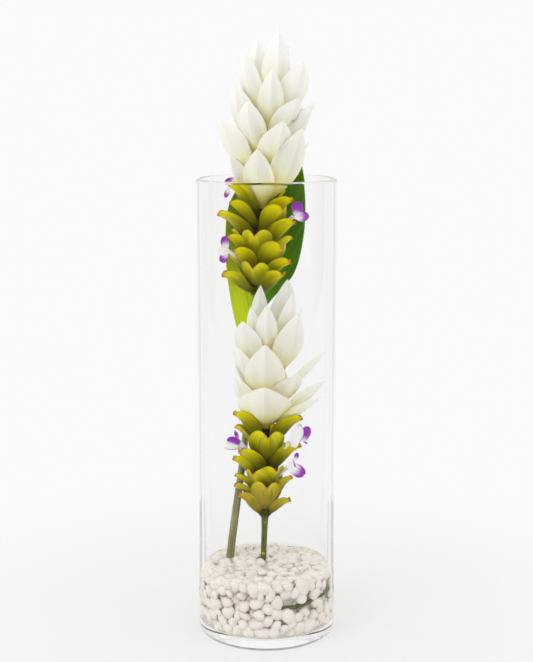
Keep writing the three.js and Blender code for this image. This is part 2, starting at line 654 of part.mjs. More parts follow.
// Pebbles: rings of stones against the glass and a spiral of stones on top, sunk into one filling
function pebbleBed(stems) {
  let seed = RANDOM_SEED;
  const random = (low, high) => {
    seed = (seed * RANDOM_STEP) % RANDOM_RANGE;
    return low + (high - low) * (seed / RANDOM_RANGE);
  };
  const coreBottom = BASE + GAP;
  const coreHeight = PEBBLE_TOP - CORE_COVER * PEBBLE_SIZE - coreBottom;
  const core = new THREE.CylinderGeometry(
    PEBBLE_CORE_RADIUS,
    PEBBLE_CORE_RADIUS,
    coreHeight,
    PEBBLE_CORE_SIDES,
  );
  core.rotateX(Math.PI / 2);
  core.translate(0, 0, coreBottom + coreHeight / 2);
  const solids = [toSolid(core)];
  for (let ring = 0; ring < PEBBLE_RINGS; ring += 1) {
    const height = BASE + GAP + PEBBLE_SIZE * (FIRST_RING + RING_PITCH * ring);
    for (let k = 0; k < RING_STONES; k += 1) {
      const turn = (2 * Math.PI * (k + 0.5 * (ring % 2))) / RING_STONES;
      solids.push(wallStone(turn, height, random));
    }
  }
  const topRadius = PEBBLE_CORE_RADIUS - TOP_INSET * PEBBLE_SIZE;
  const goldenTurn = Math.PI * (3 - Math.sqrt(5));
  for (let k = 0; k < TOP_STONES; k += 1) {
    const reach = topRadius * Math.sqrt((k + 0.5) / TOP_STONES);
    const turn = k * goldenTurn;
    const top = random(PEBBLE_TOP - TOP_UNEVEN, PEBBLE_TOP);
    solids.push(topStone(reach * Math.cos(turn), reach * Math.sin(turn), top, random));
  }
  const bed = wasm.Manifold.union(solids);
  return fuse([bed.subtract(stems.tall).subtract(stems.short)]);
}

// Water: a layer over the pebbles with a thin skin between the stones and the glass, and the stems
// standing in plain holes in it
function waterBody(stems) {
  const outer = VASE_INSIDE - GAP;
  const inner = outer - WATER_SKIN;
  const bottom = BASE + FLOOR_ROUND + GAP;
  const points = [
    new THREE.Vector2(0, PEBBLE_TOP + GAP),
    new THREE.Vector2(inner, PEBBLE_TOP + GAP),
    new THREE.Vector2(inner, bottom),
    new THREE.Vector2(outer, bottom),
    new THREE.Vector2(outer, WATER_LEVEL),
    new THREE.Vector2(0, WATER_LEVEL),
  ];
  const lathe = new THREE.LatheGeometry(points, VASE_SIDES);
  lathe.rotateX(Math.PI / 2);
  return fuse([toSolid(lathe).subtract(stems.tall).subtract(stems.short)]);
}

// One head: florets in sockets of the green cone, and the white cone on top of it
function addHead(name, green, white, greenBracts, whiteBracts, florets) {
  const greenTop = green.length - GAP;
  const greenCore = coreSolid(green.frame, STEM_SEAT, greenTop, GREEN_CORE_RADIUS, GREEN_CORE_TOP);
  const whiteCore = coreSolid(white, 0, WHITE_CORE_LENGTH, WHITE_CORE_RADIUS, WHITE_CORE_TOP);
  const whiteBlades = whiteBracts.map((bract) => bractSolid(white, bract, WHITE_SHAPE, WHITE_ROWS));
  const whiteHead = fuse([whiteCore, ...whiteBlades]);
  const greenBlades = greenBracts.map((bract) => {
    return bractSolid(green.frame, bract, GREEN_SHAPE, GREEN_ROWS);
  });
  let greenHead = wasm.Manifold.union([greenCore, ...greenBlades]);
  florets.forEach((floret) => {
    greenHead = greenHead.subtract(floretSolid(green.frame, floret, GAP));
    addPiece(floret.name, toGeometry(floretSolid(green.frame, floret, 0)), FLORET_PURPLE, 0.5);
  });
  addPiece(`${name}_green_bracts`, toGeometry(fuse([greenHead])), OLIVE_GREEN, 0.45);
  addPiece(`${name}_white_bracts`, toGeometry(whiteHead), PEARL_WHITE, 0.5);
}

function addLeaf() {
  const midrib = pathThrough(LEAF_STATIONS.map((s) => [s.x, 0, s.z]));
  const reach = pathThrough(LEAF_STATIONS.map((s) => [s.left, s.right, s.z]));
  const sheet = (along, across) => {
    const centre = midrib.getPoint(along);
    const width = reach.getPoint(along);
    const x = centre.x + across * (across < 0 ? width.x : width.y);
    const bent = Math.sqrt(LEAF_BEND_RADIUS ** 2 - x * x);
    const settle = THREE.MathUtils.smoothstep(along, 0, LEAF_SETTLED);
    const y = LEAF_FOOT_DEPTH + (bent - LEAF_FOOT_DEPTH) * settle;
    return new THREE.Vector3(x, y, centre.z + LEAF_CUP * across * across);
  };
  addPiece('leaf', blade(sheet, LEAF_ROWS, LEAF_COLUMNS, BLADE), LEAF_GREEN, 0.45);
}

const stems = stemSolids(0);
const stemHoles = stemSolids(GAP);
addVase();
addPiece('pebbles', toGeometry(pebbleBed(stemHoles)), PEBBLE_WHITE, 0.35);
addPiece('water', toGeometry(waterBody(stemHoles)), WATER_TINT, 0.05, { transparent: true, opacity: 0.4 });
addPiece('stem_tall', toGeometry(stems.tall), STEM_GREEN, 0.5);
addPiece('stem_short', toGeometry(stems.short), STEM_GREEN, 0.5);

const upperGreenFrame = headFrame(UPPER_GREEN_BASE, UPPER_GREEN_AXIS);
const upperWhiteBase = onAxis(upperGreenFrame, UPPER_GREEN_LENGTH).toArray();
addHead(
  'upper',
  { frame: upperGreenFrame, length: UPPER_GREEN_LENGTH },
  headFrame(upperWhiteBase, UPPER_WHITE_AXIS),
  UPPER_GREEN_BRACTS,
  UPPER_WHITE_BRACTS,
  UPPER_FLORETS,
);
const lowerGreenFrame = headFrame(LOWER_GREEN_BASE, LOWER_GREEN_AXIS);
const lowerWhiteBase = onAxis(lowerGreenFrame, LOWER_GREEN_LENGTH).toArray();
addHead(
  'lower',
  { frame: lowerGreenFrame, length: LOWER_GREEN_LENGTH },
  headFrame(lowerWhiteBase, LOWER_WHITE_AXIS),
  LOWER_GREEN_BRACTS,
  LOWER_WHITE_BRACTS,
  LOWER_FLORETS,
);
addLeaf();

export default part;
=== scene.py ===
"""Dresses two cut spikes of white ginger lily in a tall clear cylinder vase: the glass, water and
pebbles, the two stems, the leaf, and the bracts and florets of both heads. Run it as a script.
Lengths are in metres, and lists given in millimetres are multiplied by MM."""

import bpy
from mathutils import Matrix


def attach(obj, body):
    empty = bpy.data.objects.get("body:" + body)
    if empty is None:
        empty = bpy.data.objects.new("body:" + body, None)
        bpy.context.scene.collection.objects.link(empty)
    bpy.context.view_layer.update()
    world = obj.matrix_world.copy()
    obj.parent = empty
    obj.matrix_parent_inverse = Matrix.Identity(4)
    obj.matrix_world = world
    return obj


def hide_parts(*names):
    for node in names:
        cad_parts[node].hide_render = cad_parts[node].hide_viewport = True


bl_info = {
    "name": "White Ginger Lily in Vase",
    "version": (1, 0, 0),
    "blender": (4, 5, 0),
    "location": "3D View > Sidebar > Lily",
    "description": "Builds bracts, florets, stems, leaf, pebbles, water and glass around a fixed frame",
    "category": "Object",
}

import math

import bpy
import numpy as np
from bpy.props import FloatProperty, FloatVectorProperty, IntProperty, PointerProperty

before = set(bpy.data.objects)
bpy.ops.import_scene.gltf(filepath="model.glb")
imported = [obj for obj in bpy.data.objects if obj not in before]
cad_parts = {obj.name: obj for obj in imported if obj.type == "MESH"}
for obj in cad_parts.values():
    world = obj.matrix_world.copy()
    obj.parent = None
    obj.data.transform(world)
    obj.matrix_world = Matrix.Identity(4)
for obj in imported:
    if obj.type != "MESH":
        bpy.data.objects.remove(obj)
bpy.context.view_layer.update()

MM = 0.001
BODY = "root"

# Places shared with the frame. Points are x, y, z in millimetres.
TALL_STEM_POINTS = [
    (-46.5, 22, 24),
    (-42.8, 25, 70),
    (-35.2, 30, 130),
    (-28.4, 35, 178),
    (-21, 39, 250),
    (-15.2, 37, 320),
    (-12.5, 30.5, 366),
    (-12, 28, 377),
]
SHORT_STEM_POINTS = [
    (-1.8, 17, 125),
    (-2.6, 19.5, 100),
    (-3.6, 22, 70),
    (-4, 17, 54),
    (-3.5, -4, 47),
    (-1, -34, 45),
    (8, -56, 45.5),
]
# Yellow marks on the short stem, and both stems' radii, in millimetres
STEM_MARKS = [(-3.8, 18.5, 79.5), (-1.8, 12.9, 118.5)]
TALL_STEM_RADII = (5, 2.8)
SHORT_STEM_RADIUS = 3.3
SHORT_STEM_FLARE = 1.4
SHORT_STEM_TAPER = 1.1
TALL_STEM_STEPS = 90
SHORT_STEM_STEPS = 140
STEM_SIDES = 32
STEM_RIBS = 11
RIB_DEPTH = 0.02
# Linear colours of the fibres
TALL_STEM_SHADE = (0.075, 0.095, 0.035)
SHORT_STEM_SHADE = (0.05, 0.065, 0.01)
FOOT_RING_RADIUS = 63.5
FOOT_RING_TURNS = (-63, -10)
FOOT_RING_HEIGHTS = (46, 52)
FOOT_RING_STEPS = 6
LEAF_STATIONS = [
    # midrib x, midrib z, reach to the left, reach to the right
    (-18, 286, 2, 2),
    (-19.5, 318, 11, 9),
    (-20, 352, 19, 18.5),
    (-18, 392, 27, 49),
    (-9, 434, 38, 51),
    (6, 478, 46, 38),
    (20, 516, 28, 19),
    (28, 548, 1, 1),
]
LEAF_FOOT_DEPTH = 42.7
LEAF_BEND_RADIUS = 63
LEAF_SETTLED = 0.35
LEAF_CUP = 4
LEAF_ROWS = 70
LEAF_COLUMNS = 33
GREEN_CORE_RADIUS = 9.5
WHITE_CORE_RADIUS = 6.5
# How yellow the white bracts are, partly as painted glow in their crevices, and how brown the green
# ones are: the least, and up to which root
WHITE_WARMTH = {"upper": (0.0, 85), "lower": (0.12, 85)}
GREEN_WARMTH = {"upper": (0.0, 1), "lower": (0.0, 38)}
ROOT_DEPTH = 5

# Steps of the round glass, of its rounded edges and of the water's
ROUND_SIDES = 256
LIP_STEPS = 48
FOOT_STEPS = 32
FLOOR_STEPS = 28
WATER_STEPS = 10
# Share of the radius at which the flat of a base starts, outside the fan that closes it
FLAT_SHARE = 0.3
# How near to a corner of a profile the first and last points of its straight parts lie
CORNER_GAP = 1.5 * MM
# How far the water reaches into the glass, and how high and wide it creeps up beside it
WET = 0.1 * MM
CREEP = 1.6 * MM
CREEP_FALL = 2.2 * MM
CREEP_SPAN = (0.12 * MM, 8 * MM)

# Pebbles. Each is drawn as a ball, and balls are pushed apart down to a share of their sizes. The
# reaches are how near a ball's middle comes to things, as shares of its size.
STONE_SPREAD = (0.76, 1.2)
STONE_ROUNDS = 60
STONE_TOUCH = 0.91
STONE_REACHES = {"stem": 0.85, "floor": 0.75, "top": 0.7, "glass": 0.8}
# Shares of an overlap that one round takes away, between two balls and beside a stem
PUSH_APART = 0.35
PUSH_ASIDE = 0.5
# Room left at the glass, the floor and the stems, and how far above the bed the stems still count
GLASS_GAP = 0.3 * MM
FLOOR_GAP = 0.4 * MM
STEM_GAP = 3.2 * MM
STEM_MARGIN = 6 * MM
# Spreads of a stone's length, width and thickness, as shares of its ball
STONE_SIZES = [(1.05, 1.45), (0.86, 1.08), (0.68, 0.9)]
STONE_RINGS = 7
STONE_SIDES = 11
STONE_FACES = 12
# How unevenly the flat faces lie round a stone, and how deep they cut
FACE_SCATTER = 0.28
FACE_DEPTHS = (0.74, 1.12)
STONE_ROUNDING = 7
# Bands inside the glass and below the top in which stones turn to lie flat, from where to where
WALL_BAND = (11 * MM, 6 * MM)
TOP_BAND = (9 * MM, 5 * MM)
# How much larger the highest pebbles are, and how far inside the outer ones and below the highest
# ones a plain drum of the same stone fills the bed
TOP_SWELL = 0.16
HEART_DEPTH = 12.5 * MM
HEART_COVER = 10.5 * MM
HEART_LIFT = 2 * MM
HEART_SIDES = 48

# One line for each bract, from the bottom of its head up, and then those behind. turn is the direction
# of its tip, in degrees from the right-hand side with -90 at the front, and face is the direction that
# its outer face looks in. root and rise are heights on the head's axis, reach is the tip's distance
# from the axis and half is the blade's half width, in millimetres. curl bends the tip outward, in
# degrees, and peak is where along it the blade is widest. All green bracts share one curl and one peak.
BRACT_FIELDS = ["turn", "face", "root", "reach", "rise", "half", "curl", "peak"]
UPPER_WHITE_BRACTS = [
    (-110, -105, 4, 30, 67, 18, -14, 0.52),
    (178, -150, 5, 40, 58, 18, -18, 0.5),
    (12, -20, 9, 46, 75, 16, -10, 0.5),
    (-34, -56, 9, 43, 92, 21, -12, 0.55),
    (-66, -75, 40, 36, 99, 20, -18, 0.5),
    (-175, -132, 30, 53, 94, 21, -14, 0.6),
    (-13, -48, 50, 50, 120, 15, 4, 0.42),
    (-137, -112, 55, 32, 117, 18, -26, 0.55),
    (-36, -62, 72, 35, 123, 20, -20, 0.52),
    (-170, -132, 62, 41, 134, 19, -20, 0.55),
    (-92, -100, 88, 23, 151, 15, -14, 0.46),
    (-24, -60, 94, 34, 162, 18, -20, 0.62),
    (160, 168, 84, 36, 148, 13, -16, 0.5),
    (-165, -128, 98, 33, 168, 16, -18, 0.5),
    (35, 10, 112, 19, 181, 12, -16, 0.5),
    (165, -118, 108, 19, 181, 14, -16, 0.52),
    (-70, -78, 114, 9, 193, 16, -8, 0.42),
    (120, 128, 5, 36, 66, 19, -18, 0.5),
    (65, 50, 7, 38, 72, 19, -16, 0.5),
    (95, 95, 34, 40, 96, 20, -18, 0.52),
    (140, 128, 45, 36, 108, 18, -18, 0.5),
    (45, 60, 54, 36, 114, 18, -16, 0.5),
    (90, 90, 74, 32, 130, 18, -18, 0.5),
    (118, 118, 94, 27, 150, 16, -18, 0.5),
    (62, 62, 94, 27, 154, 15, -18, 0.5),
]
LOWER_WHITE_BRACTS = [
    (-95, -92, 4, 38, 57, 30, -20, 0.55),
    (-160, -140, 5, 38, 62, 20, -18, 0.55),
    (-14, -52, 7, 62, 43, 13, -10, 0.55),
    (-5, -48, 14, 66, 60, 15, -12, 0.6),
    (-32, -58, 24, 39, 70, 20, -18, 0.52),
    (5, -42, 38, 66, 90, 12, -4, 0.58),
    (-98, -94, 28, 32, 103, 23, -18, 0.5),
    (-155, -128, 38, 37, 94, 17, -18, 0.5),
    (176, -158, 28, 40, 88, 17, -20, 0.5),
    (-156, -118, 62, 33, 124, 18, -20, 0.6),
    (-28, -56, 58, 33, 137, 20, -20, 0.5),
    (10, -20, 54, 35, 138, 15, -22, 0.55),
    (-163, -125, 88, 23, 139, 11, -12, 0.48),
    (-104, -100, 84, 18, 144, 13, -14, 0.48),
    (-10, -50, 84, 23, 155, 15, -16, 0.5),
    (150, -110, 101, 14, 161, 11, -12, 0.42),
    (20, -60, 96, 18, 169, 17, -14, 0.5),
    (120, 120, 5, 24, 60, 17, -18, 0.5),
    (60, 55, 6, 34, 66, 19, -16, 0.5),
    (88, 88, 32, 30, 90, 18, -18, 0.5),
    (138, 130, 40, 23, 96, 15, -18, 0.5),
    (45, 45, 50, 31, 112, 17, -16, 0.5),
    (88, 88, 74, 24, 130, 16, -18, 0.5),
    (125, 120, 90, 19, 146, 13, -18, 0.5),
    (58, 60, 92, 20, 150, 13, -18, 0.5),
]
UPPER_GREEN_BRACTS = [
    (-160, -142, 3, 42, 21, 18),
    (-38, -60, 4, 37, 28, 18),
    (-99, -98, 10, 37, 37, 19),
    (165, 172, 12, 35, 40, 12),
    (-22, -46, 15, 39, 41, 18),
    (-146, -124, 21, 35, 51, 18),
    (-48, -68, 28, 38, 60, 19),
    (14, -8, 31, 38, 65, 15),
    (-162, -136, 36, 38, 64, 18),
    (-100, -97, 42, 38, 73, 20),
    (165, 170, 43, 34, 69, 12),
    (-28, -54, 52, 42, 86, 18),
    (-172, -144, 60, 50, 87, 19),
    (-52, -70, 66, 37, 102, 17),
    (-155, -134, 73, 40, 102, 16),
    (-25, -46, 78, 36, 110, 17),
    (40, 20, 82, 32, 115, 15),
    (-158, -136, 87, 43, 122, 18),
    (100, 100, 4, 32, 26, 18),
    (60, 60, 17, 33, 43, 17),
    (130, 130, 26, 32, 52, 17),
    (85, 85, 41, 32, 67, 18),
    (50, 50, 56, 34, 84, 17),
    (120, 120, 60, 32, 88, 17),
    (90, 90, 80, 31, 108, 17),
]
LOWER_GREEN_BRACTS = [
    (-161, -136, 3, 33, 29, 16),
    (-20, -50, 4, 31, 22, 15),
    (-86, -88, 9, 32, 46, 21),
    (-172, -146, 15, 36, 38, 14),
    (-10, -38, 18, 32, 48, 14),
    (-113, -108, 27, 35, 62, 18),
    (-178, -160, 26, 35, 49, 12),
    (-68, -76, 33, 35, 66, 18),
    (-165, -138, 42, 38, 71, 17),
    (-140, -124, 51, 38, 84, 19),
    (-20, -52, 55, 43, 88, 18),
    (-85, -86, 66, 38, 106, 24),
    (175, -170, 76, 35, 105, 13),
    (-160, -136, 89, 38, 125, 18),
    (-12, -44, 87, 43, 118, 18),
    (95, 95, 4, 28, 26, 17),
    (55, 50, 17, 31, 43, 17),
    (118, 118, 28, 25, 52, 15),
    (80, 80, 38, 30, 66, 17),
    (40, 34, 50, 34, 78, 17),
    (115, 115, 60, 25, 86, 15),
    (70, 70, 73, 33, 100, 18),
    (118, 118, 88, 26, 113, 15),
]

# How the two sorts of bract are shaped. root_lean bends the midrib at its root and wrap is half the
# angle that the blade bends round, in degrees. tip is 0.5 for a round tip and 1 for a pointed one,
# lift raises the shoulders beside it, fold creases the midrib, roll turns the edges back, and wave
# and ripple are the depths of the slow wave and of the furrows. thick and thin, and the core's widest
# and top radius, are in millimetres.
WHITE_SHAPE = {
    "root_lean": 26,
    "wrap": 20,
    "root_width": 0.34,
    "tip_power": 2.0,
    "tip": 0.95,
    "lift": 0,
    "fold": 0.24,
    "roll": 0.05,
    "wave": 0.06,
    "ripple": 0.045,
    "thick": 0.8,
    "thin": 0.35,
    "core": (WHITE_CORE_RADIUS, 1.2),
    "core_warmth": 1,
}
GREEN_SHAPE = {
    "root_lean": 14,
    "wrap": 58,
    "root_width": 0.42,
    "tip_power": 1.7,
    "curl": 18,
    "peak": 0.62,
    "tip": 0.75,
    "lift": 0.2,
    "fold": 0.05,
    "roll": 0.06,
    "wave": 0.07,
    "ripple": 0.04,
    "thick": 0.8,
    "thin": 0.35,
    "core": (GREEN_CORE_RADIUS, 4.5),
    "core_warmth": 0,
}
BRACT_ROWS = 22
BRACT_COLUMNS = 17
TIP_CROWDING = 1.25
TIP_HALF_WIDTH = 0.3
RIPPLES = 8.5
MIDRIB_HANDLE = 0.36
CREASE_ROUND = 0.0775
CORE_SIDES = 24

# Sizes of a floret's tube and lobes, where those without MM are in millimetres
FLORET_SINK = 2
TUBE_STEPS = 18
TUBE_SIDES = 14
TUBE_RADIUS = 1.3
TUBE_SWELL = 1.1
LOBE_ROWS = 16
LOBE_COLUMNS = 15
LOBE_THICKNESS = 0.4 * MM
LOBE_SPACING = 0.5 * MM

# Florets. turn, root, reach and rise are as for bracts, up to the mouth of the tube. facing is the
# way the open flower looks. Each lobe runs from one point to another, both to the right of and above
# the mouth, and has its half width, how sharp its end is, where its purple begins and on which side
# that is: 0 stands for the end, and 1 and -1 for the edges to the left and right of its own way.
BACK_LOBES = [
    (0, 0, 0, 12, 5, 0.45, 0.45, 0),
    (0, 0, -9, -6, 5, 0.45, 0.45, 0),
    (0, 0, 9, -6, 5, 0.45, 0.45, 0),
]
FLORETS = [
    {
        "node": "floret_upper_left_top",
        "head": "upper",
        "place": (-175, 96, 33.6, 121.7),
        "facing": (-0.2, -0.96, 0.18),
        "lobes": [
            (3.3, 6, -9.1, 2.6, 3, 0.8, 0, 0),
            (-3.8, -3.3, -8.5, -14.1, 2.9, 0.5, 0.25, 0),
        ],
    },
    {
        "node": "floret_upper_right",
        "head": "upper",
        "place": (-17, 70, 36.1, 92.4),
        "facing": (0.1, -0.97, 0.18),
        "lobes": [
            (3, 0.5, 5.3, 15.7, 6.3, 0.35, -0.05, 0),
            (1.1, -0.3, 17, 0.5, 5.7, 0.75, 0.2, 0),
        ],
    },
    {
        "node": "floret_upper_left",
        "head": "upper",
        "place": (-175, 34, 33, 47.6),
        "facing": (-0.1, -0.97, 0.18),
        "lobes": [
            (-3.6, 0.8, -6.4, 16.3, 4.9, 0.45, 0.2, 0),
            (-3.6, -0.3, -7.9, -12.1, 4.9, 0.4, 0.15, 0),
            (0.5, -0.1, -13, -0.1, 4.6, 0.5, 1.3, 0),
        ],
    },
    {
        "node": "floret_upper_back",
        "head": "upper",
        "place": (72, 46, 25, 74),
        "facing": (0.3, 0.8, 0.4),
        "lobes": BACK_LOBES,
    },
    {
        "node": "floret_lower_left",
        "head": "lower",
        "place": (-163, 66, 25.3, 86.7),
        "facing": (-0.1, -0.97, 0.18),
        "lobes": [
            (0, 0, -18.8, 5.4, 6.8, 0.42, -0.5, -1),
            (-5.4, 6, -10.2, 16.8, 2.2, 1.1, 0, 0),
            (0.5, -1.2, -21.6, -2.6, 2.5, 1, 0.35, 1),
        ],
    },
    {
        "node": "floret_lower_right_top",
        "head": "lower",
        "place": (-34, 70, 31.9, 94.4),
        "facing": (0.1, -0.97, 0.18),
        "lobes": [
            (15.8, 1.1, 21.5, 16.9, 5.2, 0.45, -0.1, 0),
            (4.6, -5, 12.4, 20.5, 7.2, 0.95, 0.72, -1),
            (14.8, 1.6, 20.4, -1.9, 0.9, 0.6, 0, 0),
        ],
    },
    {
        "node": "floret_lower_right",
        "head": "lower",
        "place": (-36, 44, 33.5, 68.1),
        "facing": (0.1, -0.97, 0.18),
        "lobes": [
            (-2.2, 2.2, 15.5, -11, 7, 0.42, 0.3, 0),
            (6, 4.9, 9.2, 13.8, 2.5, 0.5, 0.1, 0),
            (3.4, 7.9, 6.5, -1.6, 0.8, 0.6, 0, 0),
        ],
    },
    {
        "node": "floret_lower_back",
        "head": "lower",
        "place": (96, 50, 26, 76),
        "facing": (0.1, 0.9, 0.3),
        "lobes": BACK_LOBES,
    },
]


def srgb(red, green, blue):
    """A colour given as screen values from 0 to 255, in the linear values that shaders use."""
    share = np.array([red, green, blue]) / 255
    linear = np.where(share <= 0.04045, share / 12.92, ((share + 0.055) / 1.055) ** 2.4)
    return tuple(float(value) for value in linear)


def unit(vectors):
    """The same vectors at length 1."""
    return vectors / np.maximum(np.linalg.norm(vectors, axis=-1, keepdims=True), 1e-12)


def smooth(value, low, high):
    """0 below low, 1 above high, and an even S between them."""
    share = np.clip((value - low) / (high - low), 0, 1)
    return share * share * (3 - 2 * share)


def across_direction(vectors, direction):
    """What is left of vectors at a right angle to direction, at length 1."""
    part = (vectors * direction).sum(axis=-1, keepdims=True)
    return unit(vectors - part * direction)


def path_through(points, steps, even=True):
    """A smooth path through points: a centripetal Catmull-Rom curve, worked out by Barry and
    Goldman's pyramid, and sampled evenly by length, or evenly between the points."""
    points = np.array(points, float)
    ends = 2 * points[[0, -1]] - points[[1, -2]]
    knots = np.concatenate([ends[:1], points, ends[1:]])
    times = np.cumsum(np.sqrt(np.linalg.norm(np.diff(knots, axis=0), axis=1)))
    times = np.concatenate([[0], times])
    dense = np.linspace(0, len(points) - 1, 40 * len(points) if even else steps)
    span = np.minimum(dense.astype(int), len(points) - 2)
    corner = [knots[span + k] for k in range(4)]
    time = [times[span + k][:, None] for k in range(4)]
    now = time[1] + (time[2] - time[1]) * (dense - span)[:, None]

    def between(a, b, start, end):
        return (a * (end - now) + b * (now - start)) / (end - start)

    first = [between(corner[k], corner[k + 1], time[k], time[k + 1]) for k in range(3)]
    second = [between(first[k], first[k + 1], time[k], time[k + 2]) for k in range(2)]
    curve = between(second[0], second[1], time[1], time[2])
    if not even:
        return curve
    length = np.concatenate([[0], np.cumsum(np.linalg.norm(np.diff(curve, axis=0), axis=1))])
    wanted = np.linspace(0, length[-1], steps)
    return np.stack([np.interp(wanted, length, curve[:, k]) for k in range(3)], axis=1)


class Skin:
    """A mesh in the making. Closed pieces are added to it as whole arrays, and the values given with
    them, such as along and across, become the attributes that the finishes read."""

    def __init__(self):
        self.points = []
        self.quads = []
        self.triangles = []
        self.values = []
        self.count = 0

    def add(self, points, quads, triangles, values):
        """Adds copies of one set of faces: points has one row of points for each copy."""
        copies, size = points.shape[:2]
        start = self.count + size * np.arange(copies)[:, None, None]
        self.points.append(points.reshape(-1, 3))
        self.quads.append((start + quads).reshape(-1, 4))
        self.triangles.append((start + triangles).reshape(-1, 3))
        self.values.append({name: value.reshape(-1) for name, value in values.items()})
        self.count += copies * size

    def blades(self, sheets, thickness, **values):
        """Thin closed blades, one for each sheet of rows by columns. Every point moves half the
        thickness to either side, along the cross product of its sheet's two directions, and a rim
        of quads joins the two faces. The value inner is 0 on the first face and 1 on the second."""
        number, rows, columns = sheets.shape[:3]
        normal = np.cross(np.gradient(sheets, axis=2), np.gradient(sheets, axis=1))
        offset = unit(normal) * np.broadcast_to(thickness, sheets.shape[:3])[..., None] / 2
        points = np.stack([sheets + offset, sheets - offset], axis=1)
        grid = np.arange(rows * columns).reshape(rows, columns)
        corners = [grid[:-1, :-1], grid[:-1, 1:], grid[1:, 1:], grid[1:, :-1]]
        front = np.stack(corners, axis=-1).reshape(-1, 4)
        rim = np.concatenate([grid[0, :-1], grid[:-1, -1], grid[-1, :0:-1], grid[:0:-1, 0]])
        ahead = np.roll(rim, -1)
        far = rows * columns
        edge = np.stack([ahead, rim, rim + far, ahead + far], axis=1)
        quads = np.concatenate([front, front[:, ::-1] + far, edge])
        shape = (number, 2, rows, columns)
        held = {
            name: np.broadcast_to(value[:, None], shape) for name, value in values.items()
        }
        held["inner"] = np.broadcast_to(np.array([0.0, 1.0])[None, :, None, None], shape)
        self.add(points.reshape(number, -1, 3), quads, np.zeros((0, 3), int), held)

    def tubes(self, rings, first, last, **values):
        """Closed skins over rows of rings. Rings run anticlockwise seen from the last one, and a fan
        of triangles closes each end at the points first and last."""
        number, rows, sides = rings.shape[:3]
        grid = 1 + np.arange(rows * sides).reshape(rows, sides)
        ahead = np.roll(grid, -1, axis=1)
        corners = [grid[:-1], ahead[:-1], ahead[1:], grid[1:]]
        quads = np.stack(corners, axis=-1).reshape(-1, 4)
        foot = np.stack([np.zeros(sides, int), ahead[0], grid[0]], axis=1)
        head = np.stack([np.full(sides, rows * sides + 1), grid[-1], ahead[-1]], axis=1)
        flat = rings.reshape(number, -1, 3)
        points = np.concatenate([first[:, None], flat, last[:, None]], axis=1)
        held = {}
        for name, value in values.items():
            value = np.broadcast_to(value, (number, rows, sides)).reshape(number, -1)
            held[name] = np.concatenate([value[:, :1], value, value[:, -1:]], axis=1)
        held["inner"] = np.zeros(points.shape[:2])
        self.add(points, quads, np.concatenate([foot, head]), held)

    def make(self, name, finish, nodes, crisp=None):
        """The finished piece: a mesh object at the origin that rides on the body and stands for the
        named nodes. Edges sharper than crisp, in degrees, are not smoothed over."""
        points = np.concatenate(self.points)
        quads = np.concatenate(self.quads)
        triangles = np.concatenate(self.triangles)
        mesh = bpy.data.meshes.new(name)
        corners = np.concatenate([quads.reshape(-1), triangles.reshape(-1)])
        starts = np.concatenate([
            4 * np.arange(len(quads)),
            4 * len(quads) + 3 * np.arange(len(triangles)),
        ])
        mesh.vertices.add(len(points))
        mesh.vertices.foreach_set("co", points.astype(np.float32).reshape(-1))
        mesh.loops.add(len(corners))
        mesh.loops.foreach_set("vertex_index", corners.astype(np.int32))
        mesh.polygons.add(len(starts))
        mesh.polygons.foreach_set("loop_start", starts.astype(np.int32))
        mesh.polygons.foreach_set("use_smooth", np.ones(len(starts), bool))
        mesh.update(calc_edges=True)
        mesh.validate()
        if crisp is not None:
            mesh.set_sharp_from_angle(angle=math.radians(crisp))
        names = sorted(set().union(*self.values))
        for value_name in names:
            parts = [
                part.get(value_name, np.zeros(len(part["inner"]))) for part in self.values
            ]
            attribute = mesh.attributes.new(value_name, "FLOAT", "POINT")
            attribute.data.foreach_set("value", np.concatenate(parts).astype(np.float32))
        mesh.materials.append(finish.material)
        piece = bpy.data.objects.new(name, mesh)
        bpy.context.scene.collection.objects.link(piece)
        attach(piece, BODY)
        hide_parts(*nodes)
        return piece


class Wire:
    """One output in a finish. Arithmetic with it adds the Math nodes for the sum."""

    def __init__(self, finish, socket):
        self.finish = finish
        self.socket = socket

    def math(self, operation, *values):
        settings = {"operation": operation}
        return self.finish.add("Math", settings, dict(enumerate(values)))

    def __add__(self, other):
        return self.math("ADD", self, other)

    def __radd__(self, other):
        return self.math("ADD", other, self)

    def __sub__(self, other):
        return self.math("SUBTRACT", self, other)

    def __rsub__(self, other):
        return self.math("SUBTRACT", other, self)

    def __mul__(self, other):
        return self.math("MULTIPLY", self, other)

    def __rmul__(self, other):
        return self.math("MULTIPLY", other, self)

    def __pow__(self, other):
        return self.math("POWER", self, other)

    def __abs__(self):
        return self.math("ABSOLUTE", self)

    def sine(self):
        return self.math("SINE", self)

    def step(self, low, high):
        """0 below low, 1 above high, and an even S between them."""
        limits = {"Value": self, "From Min": low, "From Max": high}
        return self.finish.add("MapRange", {"interpolation_type": "SMOOTHSTEP"}, limits)


